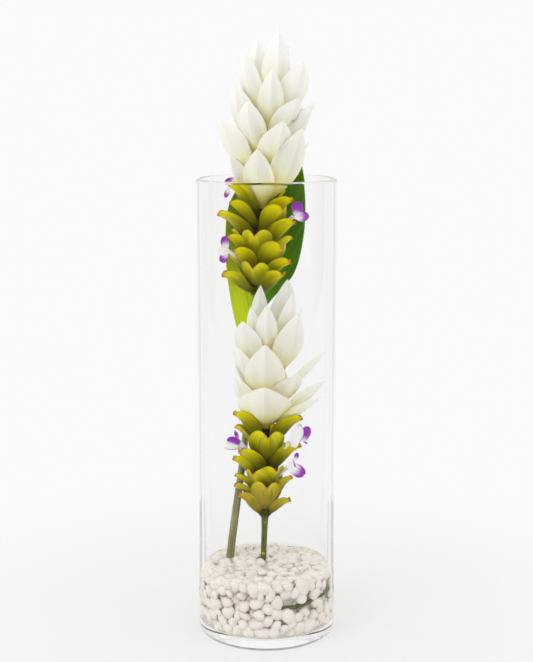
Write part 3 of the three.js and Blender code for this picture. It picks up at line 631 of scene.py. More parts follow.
class Finish:
    """A node tree in the making: a material's, or the world's."""

    def __init__(self, name, owner=None):
        self.material = owner or bpy.data.materials.new(name)
        self.material.use_nodes = True
        self.tree = self.material.node_tree
        self.tree.nodes.clear()

    def add(self, kind, settings=None, inputs=None, output=0):
        """Adds a node of this kind with its settings made first, and then the values or links of its
        sockets, and gives one of its outputs."""
        node = self.tree.nodes.new("ShaderNode" + kind)
        for name, value in (settings or {}).items():
            setattr(node, name, value)
        for name, value in (inputs or {}).items():
            socket = node.inputs[name]
            if isinstance(value, Wire):
                self.tree.links.new(value.socket, socket)
            elif hasattr(value, "__len__") and len(socket.default_value) == 4:
                socket.default_value = (*value[:3], 1)
            else:
                socket.default_value = value
        return Wire(self, node.outputs[output] if node.outputs else None)

    def values(self, *names):
        """The piece's own attributes with these names."""
        return [self.add("Attribute", {"attribute_name": name}, output="Fac") for name in names]

    def place(self):
        """The place on the piece, in metres."""
        return self.add("TexCoord", output="Object")

    def noise(self, vector, scale, detail):
        sockets = {"Vector": vector, "Scale": scale, "Detail": detail}
        return self.add("TexNoise", {"noise_dimensions": "3D"}, sockets)

    def streaks(self, x, y, z, detail):
        """Noise at a place given by three values, which stretches where a value changes slowly."""
        return self.noise(self.add("CombineXYZ", None, {0: x, 1: y, 2: z}), 1.0, detail)

    def mix(self, share, first, second, blend="MIX"):
        """Goes from the first colour to the second as share goes from 0 to 1."""
        settings = {"data_type": "RGBA", "blend_type": blend, "clamp_factor": True}
        return self.add("Mix", settings, {0: share, 6: first, 7: second}, output=2)

    def bump(self, height, strength, distance):
        sockets = {"Height": height, "Strength": strength, "Distance": distance}
        return self.add("Bump", None, sockets)

    def shader(self, **sockets):
        """The Principled shader, with underscores for the spaces in its sockets' names."""
        named = {name.replace("_", " "): value for name, value in sockets.items()}
        return self.add("BsdfPrincipled", None, named)

    def finish(self, surface):
        self.add("OutputMaterial", None, {"Surface": surface})
        return self


class Head:
    """The frame of one flower head: its foot, its axis, and two directions across it."""

    def __init__(self, foot, axis):
        self.foot = np.array(foot, float) * MM
        self.up = unit(np.array(axis, float))
        self.right = across_direction(np.array([1.0, 0, 0]), self.up)
        self.back = np.cross(self.up, self.right)

    def at(self, height, out=0.0, turn=0.0):
        """The point at a height on the axis, and out from it in the direction turn."""
        height, out = np.asarray(height)[..., None], np.asarray(out)[..., None]
        return self.foot + height * self.up + out * self.outward(turn)

    def outward(self, turn):
        angle = np.radians(np.asarray(turn, float))[..., None]
        return np.cos(angle) * self.right + np.sin(angle) * self.back


GREEN_HEADS = {
    "upper": Head((-12, 28, 376.5), (0.0746, -0.057, 1)),
    "lower": Head((-1.8, 17, 124), (0.003, -0.057, 1)),
}
GREEN_LENGTHS = {"upper": 97, "lower": 105}
WHITE_AXES = {"upper": (0.078, -0.05, 1), "lower": (0.045, -0.04, 1)}
WHITE_LENGTHS = {"upper": 128, "lower": 128}
WHITE_HEADS = {
    name: Head(head.at(GREEN_LENGTHS[name] * MM) / MM, WHITE_AXES[name])
    for name, head in GREEN_HEADS.items()
}
WHITE_SORT = {
    "lists": {"upper": UPPER_WHITE_BRACTS, "lower": LOWER_WHITE_BRACTS},
    "heads": WHITE_HEADS,
    "lengths": WHITE_LENGTHS,
    "shape": WHITE_SHAPE,
    "warmth": WHITE_WARMTH,
    "first_seed": 0,
    "piece": "_petals",
    "slot": "white_bract",
    "node": "_white_bracts",
}
GREEN_SORT = {
    "lists": {"upper": UPPER_GREEN_BRACTS, "lower": LOWER_GREEN_BRACTS},
    "heads": GREEN_HEADS,
    "lengths": GREEN_LENGTHS,
    "shape": GREEN_SHAPE,
    "warmth": GREEN_WARMTH,
    "first_seed": 10,
    "piece": "_green",
    "slot": "green_bract",
    "node": "_green_bracts",
}


def table_of(bracts, shape):
    """The shape of a sort of bract, and over it the list's own columns, with lengths in metres."""
    columns = np.array(bracts, float).T[..., None, None]
    table = {**shape, **dict(zip(BRACT_FIELDS, columns))}
    for name in ("root", "reach", "rise", "half"):
        table[name] = table[name] * MM
    return table


def width_share(along, table):
    """Width along a bract, as a share of its widest. A sine swells it from the root to its peak, and
    from there one minus a power closes it to the tip."""
    peak = table["peak"]
    swell = np.sin(np.pi / 2 * np.minimum(along / peak, 1))
    left = np.clip((along - peak) / (1 - peak), 0, 1)
    closing = (1 - left ** table["tip_power"]) ** table["tip"]
    opening = table["root_width"] + (1 - table["root_width"]) * swell
    return np.where(along < peak, opening, closing)


def midribs(head, table, along):
    """The bracts' midribs and the way that they run. Each is a cubic curve in the plane of the axis
    and the tip."""
    start = np.stack([np.full_like(table["root"], ROOT_DEPTH * MM), table["root"]], axis=-1)
    end = np.stack([table["reach"], table["rise"]], axis=-1)
    chord = end - start
    length = np.linalg.norm(chord, axis=-1)
    lean = np.degrees(np.arctan2(chord[..., 0], chord[..., 1]))

    def handle(degrees):
        angle = np.radians(degrees)
        return MIDRIB_HANDLE * length[..., None] * np.stack([np.sin(angle), np.cos(angle)], -1)

    after = start + handle(lean + table["root_lean"])
    before = end - handle(lean + table["curl"])
    t = along[..., None]
    s = 1 - t
    flat = s**3 * start + 3 * s**2 * t * after + 3 * s * t**2 * before + t**3 * end
    slope = unit(s**2 * (after - start) + 2 * s * t * (before - after) + t**2 * (end - before))
    out = head.outward(table["turn"])
    centre = head.foot + flat[..., 1:] * head.up + flat[..., :1] * out
    return centre, slope[..., 1:] * head.up + slope[..., :1] * out


def bract_sheets(head, bracts, shape, seed):
    """One sheet for each bract. Across its midrib the blade is an arc round the axis side, with a
    crease at the midrib, round shoulders that lift beside the tip, edges that roll back, a slow wave,
    and furrows from root to tip, which are a sine of the place across the blade."""
    table = table_of(bracts, shape)
    number = len(bracts)
    draw = np.random.default_rng(seed)
    phase = draw.uniform(0, 2 * np.pi, (number, 1, 1))
    pick = draw.uniform(0, 1, (number, 1, 1))
    share = np.linspace(0, 1, BRACT_ROWS)[None, :, None]
    across = np.linspace(-1, 1, BRACT_COLUMNS)[None, None, :]
    along = 1 - (1 - share) ** TIP_CROWDING
    centre, ahead = midribs(head, table, along)
    level = np.cross(head.up, head.outward(table["face"]))
    side = across_direction(level, ahead)
    inward = np.cross(ahead, side)
    half = np.maximum(table["half"] * width_share(along, table), TIP_HALF_WIDTH * MM)
    wrap = np.radians(table["wrap"])
    arc = (1 - np.cos(wrap * across)) / wrap
    crease = table["fold"] * (np.hypot(across, CREASE_ROUND) - CREASE_ROUND)
    roll = table["roll"] * smooth(np.abs(across), 0.55, 1) * smooth(along, 0.2, 0.7)
    wave = table["wave"] * np.sin(7 * along + 2.2 * np.sign(across) + phase) * across**2
    furrow = np.sin(RIPPLES * across + 2.5 * along + 1.7 * phase) * np.sin(np.pi * along)
    depth = arc + crease - roll + wave + table["ripple"] * furrow
    aside = np.abs(across) * half / table["half"]
    lobe = np.sin(np.pi / 2 * np.minimum(aside / 0.5, 1)) * (1 - 0.4 * smooth(aside, 0.5, 1.05))
    shoulder = table["lift"] * lobe * smooth(along, 0.35, 0.95)
    sheets = (
        centre
        + side * (half * np.sin(wrap * across) / wrap)[..., None]
        + inward * (half * depth)[..., None]
        + head.up * (table["half"] * shoulder)[..., None]
    )
    return sheets, spread_over(sheets, {"along": along, "across": across, "pick": pick})


def spread_over(sheets, values):
    """The values, one for every point of the sheets."""
    return {name: np.broadcast_to(value, sheets.shape[:3]) for name, value in values.items()}


def warmth(bracts, least, height):
    """One at the foot of the head, falling to least for bracts rooted this high on it and above."""
    root = np.array(bracts, float)[:, BRACT_FIELDS.index("root")]
    warm = least + (1 - least) * (1 - smooth(root, 0, height))
    return warm[:, None, None]


def blade_thickness(values, shape):
    """Thickest at the root's midrib, and thin at the edges and the tip."""
    thick, thin = shape["thick"] * MM, shape["thin"] * MM
    return thin + (thick - thin) * (1 - values["across"] ** 2) * (1 - 0.6 * values["along"])


def add_core(skin, head, radius, top_radius, length, warm):
    """The fleshy axis inside a head: a spindle from a narrow foot to a narrow top, as rings round the
    axis, one for each (radius, height) of its profile."""
    profile = [
        (radius * 0.55, 0.6),
        (radius * 0.9, length * 0.05),
        (radius, length * 0.1),
        (radius, length * 0.55),
        (top_radius + 0.4 * (radius - top_radius), length * 0.85),
        (top_radius, length),
    ]
    profile = np.array(profile) * MM
    turn = np.degrees(np.linspace(0, 2 * np.pi, CORE_SIDES, endpoint=False))
    rings = head.at(profile[:, 1:], profile[:, :1], turn[None])[None]
    ends = [head.at(height)[None] for height in profile[[0, -1], 1]]
    skin.tubes(rings, *ends, warm=np.full((1, 1, 1), float(warm)))


def set_bracts(sort, finish):
    """One piece for each head: its bracts of one sort, and the core that they grow from."""
    shape = sort["shape"]
    for seed, (name, bracts) in enumerate(sort["lists"].items(), sort["first_seed"]):
        head = sort["heads"][name]
        sheets, values = bract_sheets(head, bracts, shape, seed)
        values.update(spread_over(sheets, {"warm": warmth(bracts, *sort["warmth"][name])}))
        skin = Skin()
        skin.blades(sheets, blade_thickness(values, shape), **values)
        add_core(skin, head, *shape["core"], sort["lengths"][name], shape["core_warmth"])
        skin.make(name + sort["piece"], finish, [name + sort["node"]], crisp=60)


def sweep(path, radius, sides, ribs=0, rib_depth=0.0):
    """Rings along a path. A fixed direction that the path never follows sets where each ring
    starts, and ribs run along the tube as a cosine round it."""
    tangent = unit(np.gradient(path, axis=0))
    first = across_direction(np.array([-0.6, 0.5, 0.62]), tangent)
    second = np.cross(tangent, first)
    angle = np.linspace(0, 2 * np.pi, sides, endpoint=False)
    shape = 1 + rib_depth * np.cos(ribs * angle)
    reach = np.asarray(radius)[:, None, None] * shape[None, :, None]
    ring = np.cos(angle)[None, :, None] * first[:, None] + np.sin(angle)[None, :, None] * second[:, None]
    return (path[:, None] + reach * ring)[None], angle


def revolve(profile, sides):
    """Rings round the Z axis, one for each (radius, height) of a profile."""
    profile = np.array(profile, float)
    angle = np.linspace(0, 2 * np.pi, sides, endpoint=False)
    x = profile[:, :1] * np.cos(angle)
    y = profile[:, :1] * np.sin(angle)
    z = np.broadcast_to(profile[:, 1:], x.shape)
    return np.stack([x, y, z], axis=-1)[None]


def arc(centre, radius, start, end, steps):
    """Points of an arc in the (radius, height) plane, from one angle to another in degrees."""
    angle = np.radians(np.linspace(start, end, steps))
    return [(centre[0] + radius * c, centre[1] + radius * s) for c, s in zip(np.cos(angle), np.sin(angle))]


def straight(start, end):
    """Points between two corners of a profile. The first and last lie close to them, so that the
    round of a corner does not bend the flat glass beside it."""
    start, end = np.array(start, float), np.array(end, float)
    near = CORNER_GAP / np.linalg.norm(end - start)
    return [tuple(start + (end - start) * t) for t in (near, 0.25, 0.5, 0.75, 1 - near)]


def length_property(name, description, millimetres):
    """A size that a user may change, shown in the scene's units."""
    return FloatProperty(
        name=name, description=description, default=millimetres * MM, unit="LENGTH", min=0.0, precision=4
    )


def colour_property(name, description, colour):
    return FloatVectorProperty(
        name=name, description=description, default=srgb(*colour), subtype="COLOR", size=3, min=0.0, max=1.0
    )


class LilyVase(bpy.types.PropertyGroup):
    """The glass cylinder."""

    height: length_property("Height", "Height of the vase", 508)
    radius: length_property("Radius", "Outer radius of the vase", 76.2)
    wall: length_property("Wall", "Thickness of the glass wall", 5.7)
    base: length_property("Base", "Thickness of the glass base", 12.5)
    foot_round: length_property("Foot edge", "Rounding of the foot's edge", 5.5)
    floor_round: length_property("Floor edge", "Rounding of the inner floor's edge", 4)
    tint: colour_property("Tint", "Colour that the glass gives to light", (252, 252, 252))


class LilyFill(bpy.types.PropertyGroup):
    """The water and the pebbles."""

    water_level: length_property("Water level", "Height of the water's surface", 74)
    stone_top: length_property("Top of stones", "Height of the highest pebbles", 76.5)
    stone_size: length_property("Stone size", "Mean half length of a pebble", 6.3)
    stone_count: IntProperty(
        name="Stones", description="How many pebbles fill the vase", default=690, min=10, max=1500
    )
    seed: IntProperty(name="Seed", description="Start of the pebbles' random draws", default=8)
    white: colour_property("White", "Colour of most pebbles", (236, 229, 221))
    tan: colour_property("Tan", "Colour of the darker pebbles", (229, 212, 196))


class LilyPlant(bpy.types.PropertyGroup):
    """The colours of the plant."""

    petal: colour_property("Petal", "White of the upper bracts", (246, 245, 240))
    # Petal cream and petal root are partly the bracts' own colour and partly painted glow of light shining
    # through the petals into the crevices.
    petal_cream: colour_property("Petal cream", "Cream lower down on them", (250, 244, 190))
    petal_root: colour_property("Petal root", "Yellow-green at their roots", (216, 208, 88))
    olive: colour_property("Bract", "Olive-yellow of the green bracts", (226, 216, 0))
    # Bract shade is partly the bracts' own deeper green and partly painted shade where they crowd at the
    # roots.
    olive_deep: colour_property("Bract shade", "Green at the roots of the green bracts", (118, 116, 0))
    olive_brown: colour_property("Bract brown", "Brown on the lowest green bracts", (176, 146, 60))
    rust: colour_property("Bract tip", "Rust on the tips of the green bracts", (186, 104, 48))
    stem_grey: colour_property("Tall stem", "Grey-green of the tall stem", (160, 158, 98))
    stem_olive: colour_property("Short stem", "Olive of the short stem", (100, 108, 34))
    leaf_deep: colour_property("Leaf", "Deep green of the leaf", (96, 158, 10))
    # Leaf foot is a painted glow where light comes through the leaf; it also gives the midrib its own pale
    # colour.
    leaf_bright: colour_property("Leaf foot", "Yellow-green where light comes through", (230, 246, 24))
    purple: colour_property("Floret", "Purple on the florets' lobes", (146, 44, 172))
    throat: colour_property("Throat", "White inside the florets", (234, 231, 235))
    pollen: colour_property("Pollen", "Yellow spot on a floret's lip", (236, 220, 60))


class LilyStage(bpy.types.PropertyGroup):
    """Camera, floor, backdrop and lights."""

    lens: FloatProperty(
        name="Lens", description="Focal length on a 36 mm frame", default=72.43, subtype="DISTANCE_CAMERA"
    )
    distance: length_property("Distance", "Distance of the camera from the vase's axis", 1436)
    height: length_property("Height", "Height of the camera", 603)
    pitch: FloatProperty(
        name="Pitch",
        description="How far the camera looks down",
        default=math.radians(10.34),
        subtype="ANGLE",
    )
    key_power: FloatProperty(
        name="Key light", description="Power of the large light on the left", default=9.0, subtype="POWER"
    )
    fill_power: FloatProperty(
        name="Fill light", description="Power of the light on the right", default=3.0, subtype="POWER"
    )
    sky: FloatProperty(name="Surroundings", description="How strongly the white room lights", default=0.94)
    floor_glow: FloatProperty(
        name="Floor glow", description="Light that the floor gives off", default=0.545
    )
    backdrop: colour_property("Backdrop", "Colour of the backdrop", (250, 250, 250))
    floor: colour_property("Floor", "Colour of the floor", (250, 250, 249))


# Linear colours of the darkest veins and of the painted shade at the green bracts' roots, then the
# painted shade on one side of a petal's fold, and the colour of the marks on the short stem, with the
# distances between which a mark fades out
VEIN_SHADE = (0.1, 0.11, 0.0)
ROOT_SHADE = (0.03, 0.035, 0.0)
LEAF_SHADE = (0.02, 0.06, 0.004)
PETAL_PAINTED_SHADE = srgb(205, 202, 190)
MARK_YELLOW = srgb(214, 208, 40)
MARK_EDGE = (0.8 * MM, 2.8 * MM)
# How strongly clear things mirror, how far they bend light, and the tint of the water
GLARE = 0.1
GLASS_BEND = 1.5
WATER_BEND = 1.33
WATER_TINT = (0.985, 0.99, 0.99)

# Light that enters at the lip is reflected down inside the wall many times
LIGHT_BOUNCES = 400
CLEAR_BOUNCES = 32
DIFFUSE_BOUNCES = 8
# The ribbons that the glass's edges show: name, turns from straight ahead in degrees, the two lines
# (distance, height) that they span in metres, and strength. The foot shadow card is a dim strip just
# behind the foot, which the glass shows as a painted contact shadow along the foot's outline.
FAR_CARD = ((1.3, 0.001), (1.3, 1.2))
FLOOR_CARD = ((0.42, 0.001), (1.3, 0.001))
NEAR_CARD = ((0.1, 0.001), (0.42, 0.001))
FOOT_SHADOW_CARD = ((0.09, 0.001), (0.09, 0.011))
CARDS = [
    ("pale_card", (13, 24.5), FAR_CARD, 0.99),
    ("edge_card", (25, 33), FAR_CARD, 0.78),
    ("floor_card", (25, 33), FLOOR_CARD, 0.8),
    ("near_card", (22, 33), NEAR_CARD, 0.5),
    # Painted contact shadow: a dim strip behind the foot that the glass shows as a dark line along its
    # outline.
    ("foot_shadow_card", (-36.25, 20), FOOT_SHADOW_CARD, 0.15),
]
CARD_START = 0.066
CARD_COLOUR = srgb(246, 247, 249)
# The floor, which fades out between two distances from the vase's axis, in metres
FLOOR_RADIUS = 9.0
FLOOR_SIDES = 96
FLOOR_DROP = 0.2 * MM
FLOOR_SHADE = 0.36
FLOOR_FADE = (0.02, 0.62)
# Place, size and aim of the lamps, in metres
KEY_LIGHT = ((-1.25, -0.95, 1.25), (0.9, 1.4))
FILL_LIGHT = ((1.3, -0.5, 0.9), (0.5, 1.5))
LIGHT_AIM = (0, 0, 0.35)
FARTHEST_VIEW = 50

SETTINGS = {"lily_vase": LilyVase, "lily_fill": LilyFill, "lily_plant": LilyPlant, "lily_stage": LilyStage}


def clear_finish(name, tint, ior):
    """A clear body that bends light, with a low glare where it is seen face on. Rays from lamps and
    diffuse light pass through it straight."""
    finish = Finish(name)
    body = finish.shader(
        Base_Color=tint,
        Roughness=0.0,
        IOR=ior,
        Transmission_Weight=1.0,
        Specular_Tint=(GLARE, GLARE, GLARE),
    )
    open_way = finish.add("BsdfTransparent")
    for output in ("Is Diffuse Ray", "Is Shadow Ray"):
        ray = finish.add("LightPath", output=output)
        body = finish.add("MixShader", None, {0: ray, 1: body, 2: open_way})
    return finish.finish(body)


def stone_finish(fill):
    """Matte pebbles: warm white to tan, one shade to a stone, with faint clouds and grain."""
    finish = Finish("matte_pebble")
    (pick,) = finish.values("pick")
    place = finish.place()
    cloud = finish.noise(place, 70, 3)
    grain = finish.noise(place, 900, 2)
    shade = (pick - 0.35) * 0.5 + (cloud - 0.5) * 0.9
    colour = finish.mix(shade.step(0.0, 1.0), fill.white, fill.tan)
    surface = finish.shader(
        Base_Color=colour,
        Roughness=0.6 + (grain - 0.5) * 0.2,
        Normal=finish.bump(cloud + grain * 0.15, 0.2, 0.0004),
        Subsurface_Weight=0.1,
        Subsurface_Radius=(0.003, 0.0024, 0.0018),
        Subsurface_Scale=0.5,
        Specular_IOR_Level=0.2,
    )
    return finish.finish(surface)


def petal_finish(plant):
    """White bracts: yellow-green at the lowest roots, cream above them and white at the tips, with
    faint lengthwise veins. The cream and yellow-green are partly the bracts' own colour and partly a
    painted glow of light through the petals in the crevices, and one side of the fold is a little
    greyer as painted shade. Light from behind shows through."""
    finish = Finish("white_petal")
    along, across, pick, warm = finish.values("along", "across", "pick", "warm")
    strands = finish.streaks(across * 14, along * 1.6, pick * 40, 3)
    cloud = finish.streaks(across * 1.5, along * 2.5, pick * 70, 2)
    # Partly painted glow: the cream and yellow-green low on each bract are its own colour, deepened to
    # stand for light shining through the petals into the crevices. warm deepens them more on bracts rooted
    # low.
    reach = along + (cloud - 0.5) * 0.25 + (strands - 0.5) * 0.12
    cream = (1 - reach.step(0.2, 0.78)) * (0.7 + warm * 0.3) + warm * 0.2
    colour = finish.mix(cream, plant.petal, plant.petal_cream)
    lime = (1 - reach.step(0.05, 0.5)) * (0.2 + warm * 0.8)
    colour = finish.mix(lime, colour, plant.petal_root)
    # Painted shade: one half of each petal beside its fold is made greyer, as if turned from the light.
    painted_shade_side = across.step(-0.015, 0.03) * (1 - across.step(0.1, 1.1)) * along.step(0.2, 0.6)
    colour = finish.mix(painted_shade_side * 0.3, colour, PETAL_PAINTED_SHADE)
    surface = finish.shader(
        Base_Color=colour,
        Roughness=0.5 + (strands - 0.5) * 0.1,
        Normal=finish.bump(strands, 0.16, 0.0006),
        Subsurface_Weight=0.6,
        Subsurface_Radius=(0.0045, 0.0044, 0.0041),
        Subsurface_Scale=1.0,
        Specular_IOR_Level=0.2,
    )
    return finish.finish(surface)


def green_bract_finish(plant):
    """Olive bracts with fine darker veins from root to tip, and rust on the tip and the edges. Lower down
    they turn deep green, partly their own colour and partly painted shade, and the root and the core
    go near black as painted shade where the bracts crowd.
    """
    finish = Finish("olive_bract")
    along, across, inner = finish.values("along", "across", "inner")
    pick, warm = finish.values("pick", "warm")
    strands = finish.streaks(across * 11, along * 1.2, pick * 40, 4)
    cloud = finish.streaks(across * 2, along * 2, pick * 70, 2)
    veins = finish.streaks(across * 27, along * 1.1, pick * 55, 1)
    # Painted shade: each bract goes deep green lower down and near black at its root and on the core, where
    # the bracts crowd together; the deep green is partly the bracts' own colour.
    rise = (along + (cloud - 0.5) * 0.3).step(0.4, 0.98)
    colour = finish.mix(rise, plant.olive_deep, plant.olive)
    colour = finish.mix(warm * 0.8 * cloud.step(0.3, 0.6), colour, plant.olive_brown)
    lines = veins.step(0.5, 0.7) * (0.65 - inner * 0.35)
    colour = finish.mix(lines, colour, VEIN_SHADE)
    colour = finish.mix(1 - along.step(0.0, 0.45), colour, ROOT_SHADE)
    edge = abs(across) ** 10 * along.step(0.3, 0.9) * 0.8
    tip = (along - abs(across) * 0.05).step(0.86, 0.99)
    rust = (tip * (0.5 + cloud * 0.8) + edge * cloud).step(0.1, 0.9)
    colour = finish.mix(rust, colour, plant.rust)
    surface = finish.shader(
        Base_Color=colour,
        Roughness=0.4 + (strands - 0.5) * 0.12,
        Normal=finish.bump(strands - veins * 0.5, 0.35, 0.0006),
        Subsurface_Weight=0.25,
        Subsurface_Radius=(0.003, 0.003, 0.0004),
        Subsurface_Scale=0.6,
        Specular_IOR_Level=0.3,
        Specular_Tint=(1.0, 0.9, 0.0),
    )
    return finish.finish(surface)


def stem_finish(name, colour, dark, marks=()):
    """Stem skin: fine fibres along it, a little lighter and darker, with a soft shine, and yellow
    marks round the places given in millimetres."""
    finish = Finish(name)
    along, across = finish.values("along", "across")
    fibres = finish.streaks(across * 9, along * 5, 0.0, 4)
    cloud = finish.noise(finish.place(), 60, 2)
    tone = ((fibres - 0.5) * 1.4 + (cloud - 0.5) * 0.6 + 0.5).step(0.1, 0.9)
    skin = finish.mix(tone, colour, dark)
    for mark in marks:
        ends = {0: finish.place(), 1: [value * MM for value in mark]}
        gap = finish.add("VectorMath", {"operation": "DISTANCE"}, ends, output="Value")
        worn = (1 - gap.step(*MARK_EDGE)) * cloud.step(0.35, 0.6)
        skin = finish.mix(worn, skin, MARK_YELLOW)
    surface = finish.shader(
        Base_Color=skin,
        Roughness=0.45 + (fibres - 0.5) * 0.15,
        Normal=finish.bump(fibres, 0.3, 0.0005),
    )
    return finish.finish(surface)


def leaf_finish(plant):
    """A smooth leaf: a pale midrib, side veins that slant forward, deep green with a painted glow of
    yellow-green at its lower left where light comes through.
    """
    finish = Finish("lily_leaf")
    along, across = finish.values("along", "across")
    cloud = finish.streaks(across * 2, along * 5, 0.0, 3)
    slant = along * 40 - abs(across) * 15
    half = across.step(-0.01, 0.01)
    veins = finish.streaks(slant, along * 1.5, half * 9, 2).step(0.3, 0.7)
    ribs = (slant * 1.6 + cloud * 2).sine() * 0.5 + 0.5
    # Painted glow: the lower left of the leaf is drawn yellow-green, standing for light that comes through
    # it.
    painted_glow = ((0.52 - along) * 2.4 - across * 0.75 + (cloud - 0.5) * 0.5).step(0.0, 0.8)
    colour = finish.mix(painted_glow, plant.leaf_deep, plant.leaf_bright)
    colour = finish.mix((veins * 0.5 + ribs * 0.12) * (1 - painted_glow * 0.65), colour, LEAF_SHADE)
    midrib = 1 - abs(across).step(0.0, 0.05)
    colour = finish.mix(midrib * 0.5, colour, plant.leaf_bright)
    surface = finish.shader(
        Base_Color=colour,
        Roughness=0.36 + (cloud - 0.5) * 0.15,
        Normal=finish.bump(veins * 0.5 + ribs - midrib * 1.2, 0.35, 0.0008),
        Specular_IOR_Level=0.4,
        Specular_Tint=(0.9, 1.0, 0.3),
        Subsurface_Weight=0.1,
        Subsurface_Radius=(0.001, 0.002, 0.0003),
        Subsurface_Scale=0.5,
    )
    return finish.finish(surface)


def floret_finish(plant):
    """Floret petals: white at the throat and purple at the rim, with fine streaks between."""
    finish = Finish("purple_floret")
    along, across, pick = finish.values("along", "across", "pick")
    dye, spot = finish.values("dye", "spot")
    streaks = finish.streaks(across * 6, along * 1.5, pick * 40, 3)
    rim = (dye + (streaks - 0.5) * 0.9 * dye.step(0.0, 0.1)).step(0.05, 0.95)
    colour = finish.mix(rim, plant.throat, plant.purple)
    colour = finish.mix(spot, colour, plant.pollen)
    surface = finish.shader(
        Base_Color=colour,
        Roughness=0.5,
        Normal=finish.bump(streaks, 0.2, 0.0004),
        Subsurface_Weight=0.2,
        Subsurface_Radius=(0.002, 0.0015, 0.002),
        Subsurface_Scale=0.5,
        Specular_IOR_Level=0.2,
    )
    return finish.finish(surface)


class LILY_OT_vase(bpy.types.Operator):
    """Turns the clear cylinder vase with its thick base"""

    bl_idname = "lily.vase"
    bl_label = "Vase"

    def execute(self, context):
        size = context.scene.lily_vase
        inside = size.radius - size.wall
        lip = size.wall / 2
        foot = size.radius - size.foot_round
        corner = (inside - size.floor_round, size.base + size.floor_round)
        top = size.height - lip
        profile = straight((FLAT_SHARE * foot, 0), (foot, 0))
        profile += arc((foot, size.foot_round), size.foot_round, -90, 0, FOOT_STEPS)
        profile += straight((size.radius, size.foot_round), (size.radius, top))
        profile += arc((size.radius - lip, top), lip, 0, 180, LIP_STEPS)
        profile += straight((inside, top), (inside, corner[1]))
        profile += arc(corner, size.floor_round, 0, -90, FLOOR_STEPS)
        profile += straight((corner[0], size.base), (FLAT_SHARE * foot, size.base))
        rings = revolve(profile, ROUND_SIDES)
        skin = Skin()
        skin.tubes(rings, np.zeros((1, 3)), np.array([[0, 0, size.base]]))
        glass = clear_finish("clear_glass", size.tint, GLASS_BEND)
        skin.make("vase_glass", glass, ["vase"], crisp=50)
        return {"FINISHED"}


class LILY_OT_water(bpy.types.Operator):
    """Pours the water, which wets the glass and creeps up it a little at the edge"""

    bl_idname = "lily.water"
    bl_label = "Water"

    def execute(self, context):
        size, fill = context.scene.lily_vase, context.scene.lily_fill
        level = fill.water_level
        wide = size.radius - size.wall + WET
        low = size.base - WET
        corner = (wide - size.floor_round, low + size.floor_round)
        profile = straight((FLAT_SHARE * wide, low), (corner[0], low))
        profile += arc(corner, size.floor_round, -90, 0, WATER_STEPS)
        profile += straight((wide, corner[1]), (wide, level + CREEP))
        profile += [(wide, level + CREEP)]
        edge = np.linspace(*CREEP_SPAN, WATER_STEPS)
        rise = CREEP * np.exp(-edge / CREEP_FALL)
        profile += [(wide - e, level + r) for e, r in zip(edge, rise)]
        profile += [(wide * share, level) for share in (0.8, 0.5, 0.2)]
        rings = revolve(profile, ROUND_SIDES)
        skin = Skin()
        skin.tubes(rings, np.array([[0, 0, low]]), np.array([[0, 0, level]]))
        water = clear_finish("clear_water", WATER_TINT, WATER_BEND)
        skin.make("vase_water", water, ["water"], crisp=50)
        return {"FINISHED"}


def stem_paths():
    """The middle lines of the two stems in metres, the tall one from its foot and the short one from
    its head."""
    turns = np.radians(np.linspace(*FOOT_RING_TURNS, FOOT_RING_STEPS))
    heights = np.linspace(*FOOT_RING_HEIGHTS, FOOT_RING_STEPS)
    ring = [
        (FOOT_RING_RADIUS * math.cos(t), FOOT_RING_RADIUS * math.sin(t), h)
        for t, h in zip(turns, heights)
    ]
    tall = path_through(TALL_STEM_POINTS, TALL_STEM_STEPS) * MM
    short = path_through(SHORT_STEM_POINTS + ring, SHORT_STEM_STEPS) * MM
    return tall, short


def settle_stones(size, fill):
    """Places and sizes of the pebbles. Balls are drawn at random in the bed and pushed apart and back
    inside it again and again, with the stems kept clear."""
    draw = np.random.default_rng(fill.seed)
    number = fill.stone_count
    inside = size.radius - size.wall - GLASS_GAP
    floor = size.base + FLOOR_GAP
    ball = fill.stone_size * draw.uniform(*STONE_SPREAD, number)
    angle = draw.uniform(0, 2 * np.pi, number)
    far = inside * np.sqrt(draw.uniform(0, 1, number))
    height = draw.uniform(floor, fill.stone_top, number)
    centre = np.stack([far * np.cos(angle), far * np.sin(angle), height], axis=1)
    stems = np.concatenate([path[::3] for path in stem_paths()])
    stems = stems[stems[:, 2] < fill.stone_top + STEM_MARGIN]
    reach = {name: share * ball for name, share in STONE_REACHES.items()}
    touch = (ball[:, None] + ball[None]) * STONE_TOUCH
    for _ in range(STONE_ROUNDS):
        apart = centre[:, None] - centre[None]
        gap = np.linalg.norm(apart, axis=2) + np.eye(number)
        push = np.clip(touch - gap, 0, None) * (1 - np.eye(number))
        centre = centre + PUSH_APART * (apart * (push / gap)[..., None]).sum(axis=1)
        away = centre[:, None] - stems[None]
        gap = np.linalg.norm(away, axis=2)
        push = np.clip(reach["stem"][:, None] + STEM_GAP - gap, 0, None)
        centre = centre + PUSH_ASIDE * (away * (push / gap)[..., None]).max(axis=1)
        centre[:, 2] = np.clip(centre[:, 2], floor + reach["floor"], fill.stone_top - reach["top"])
        far = np.linalg.norm(centre[:, :2], axis=1)
        centre[:, :2] *= np.minimum(1, (inside - reach["glass"]) / far)[:, None]
    return centre, ball, draw


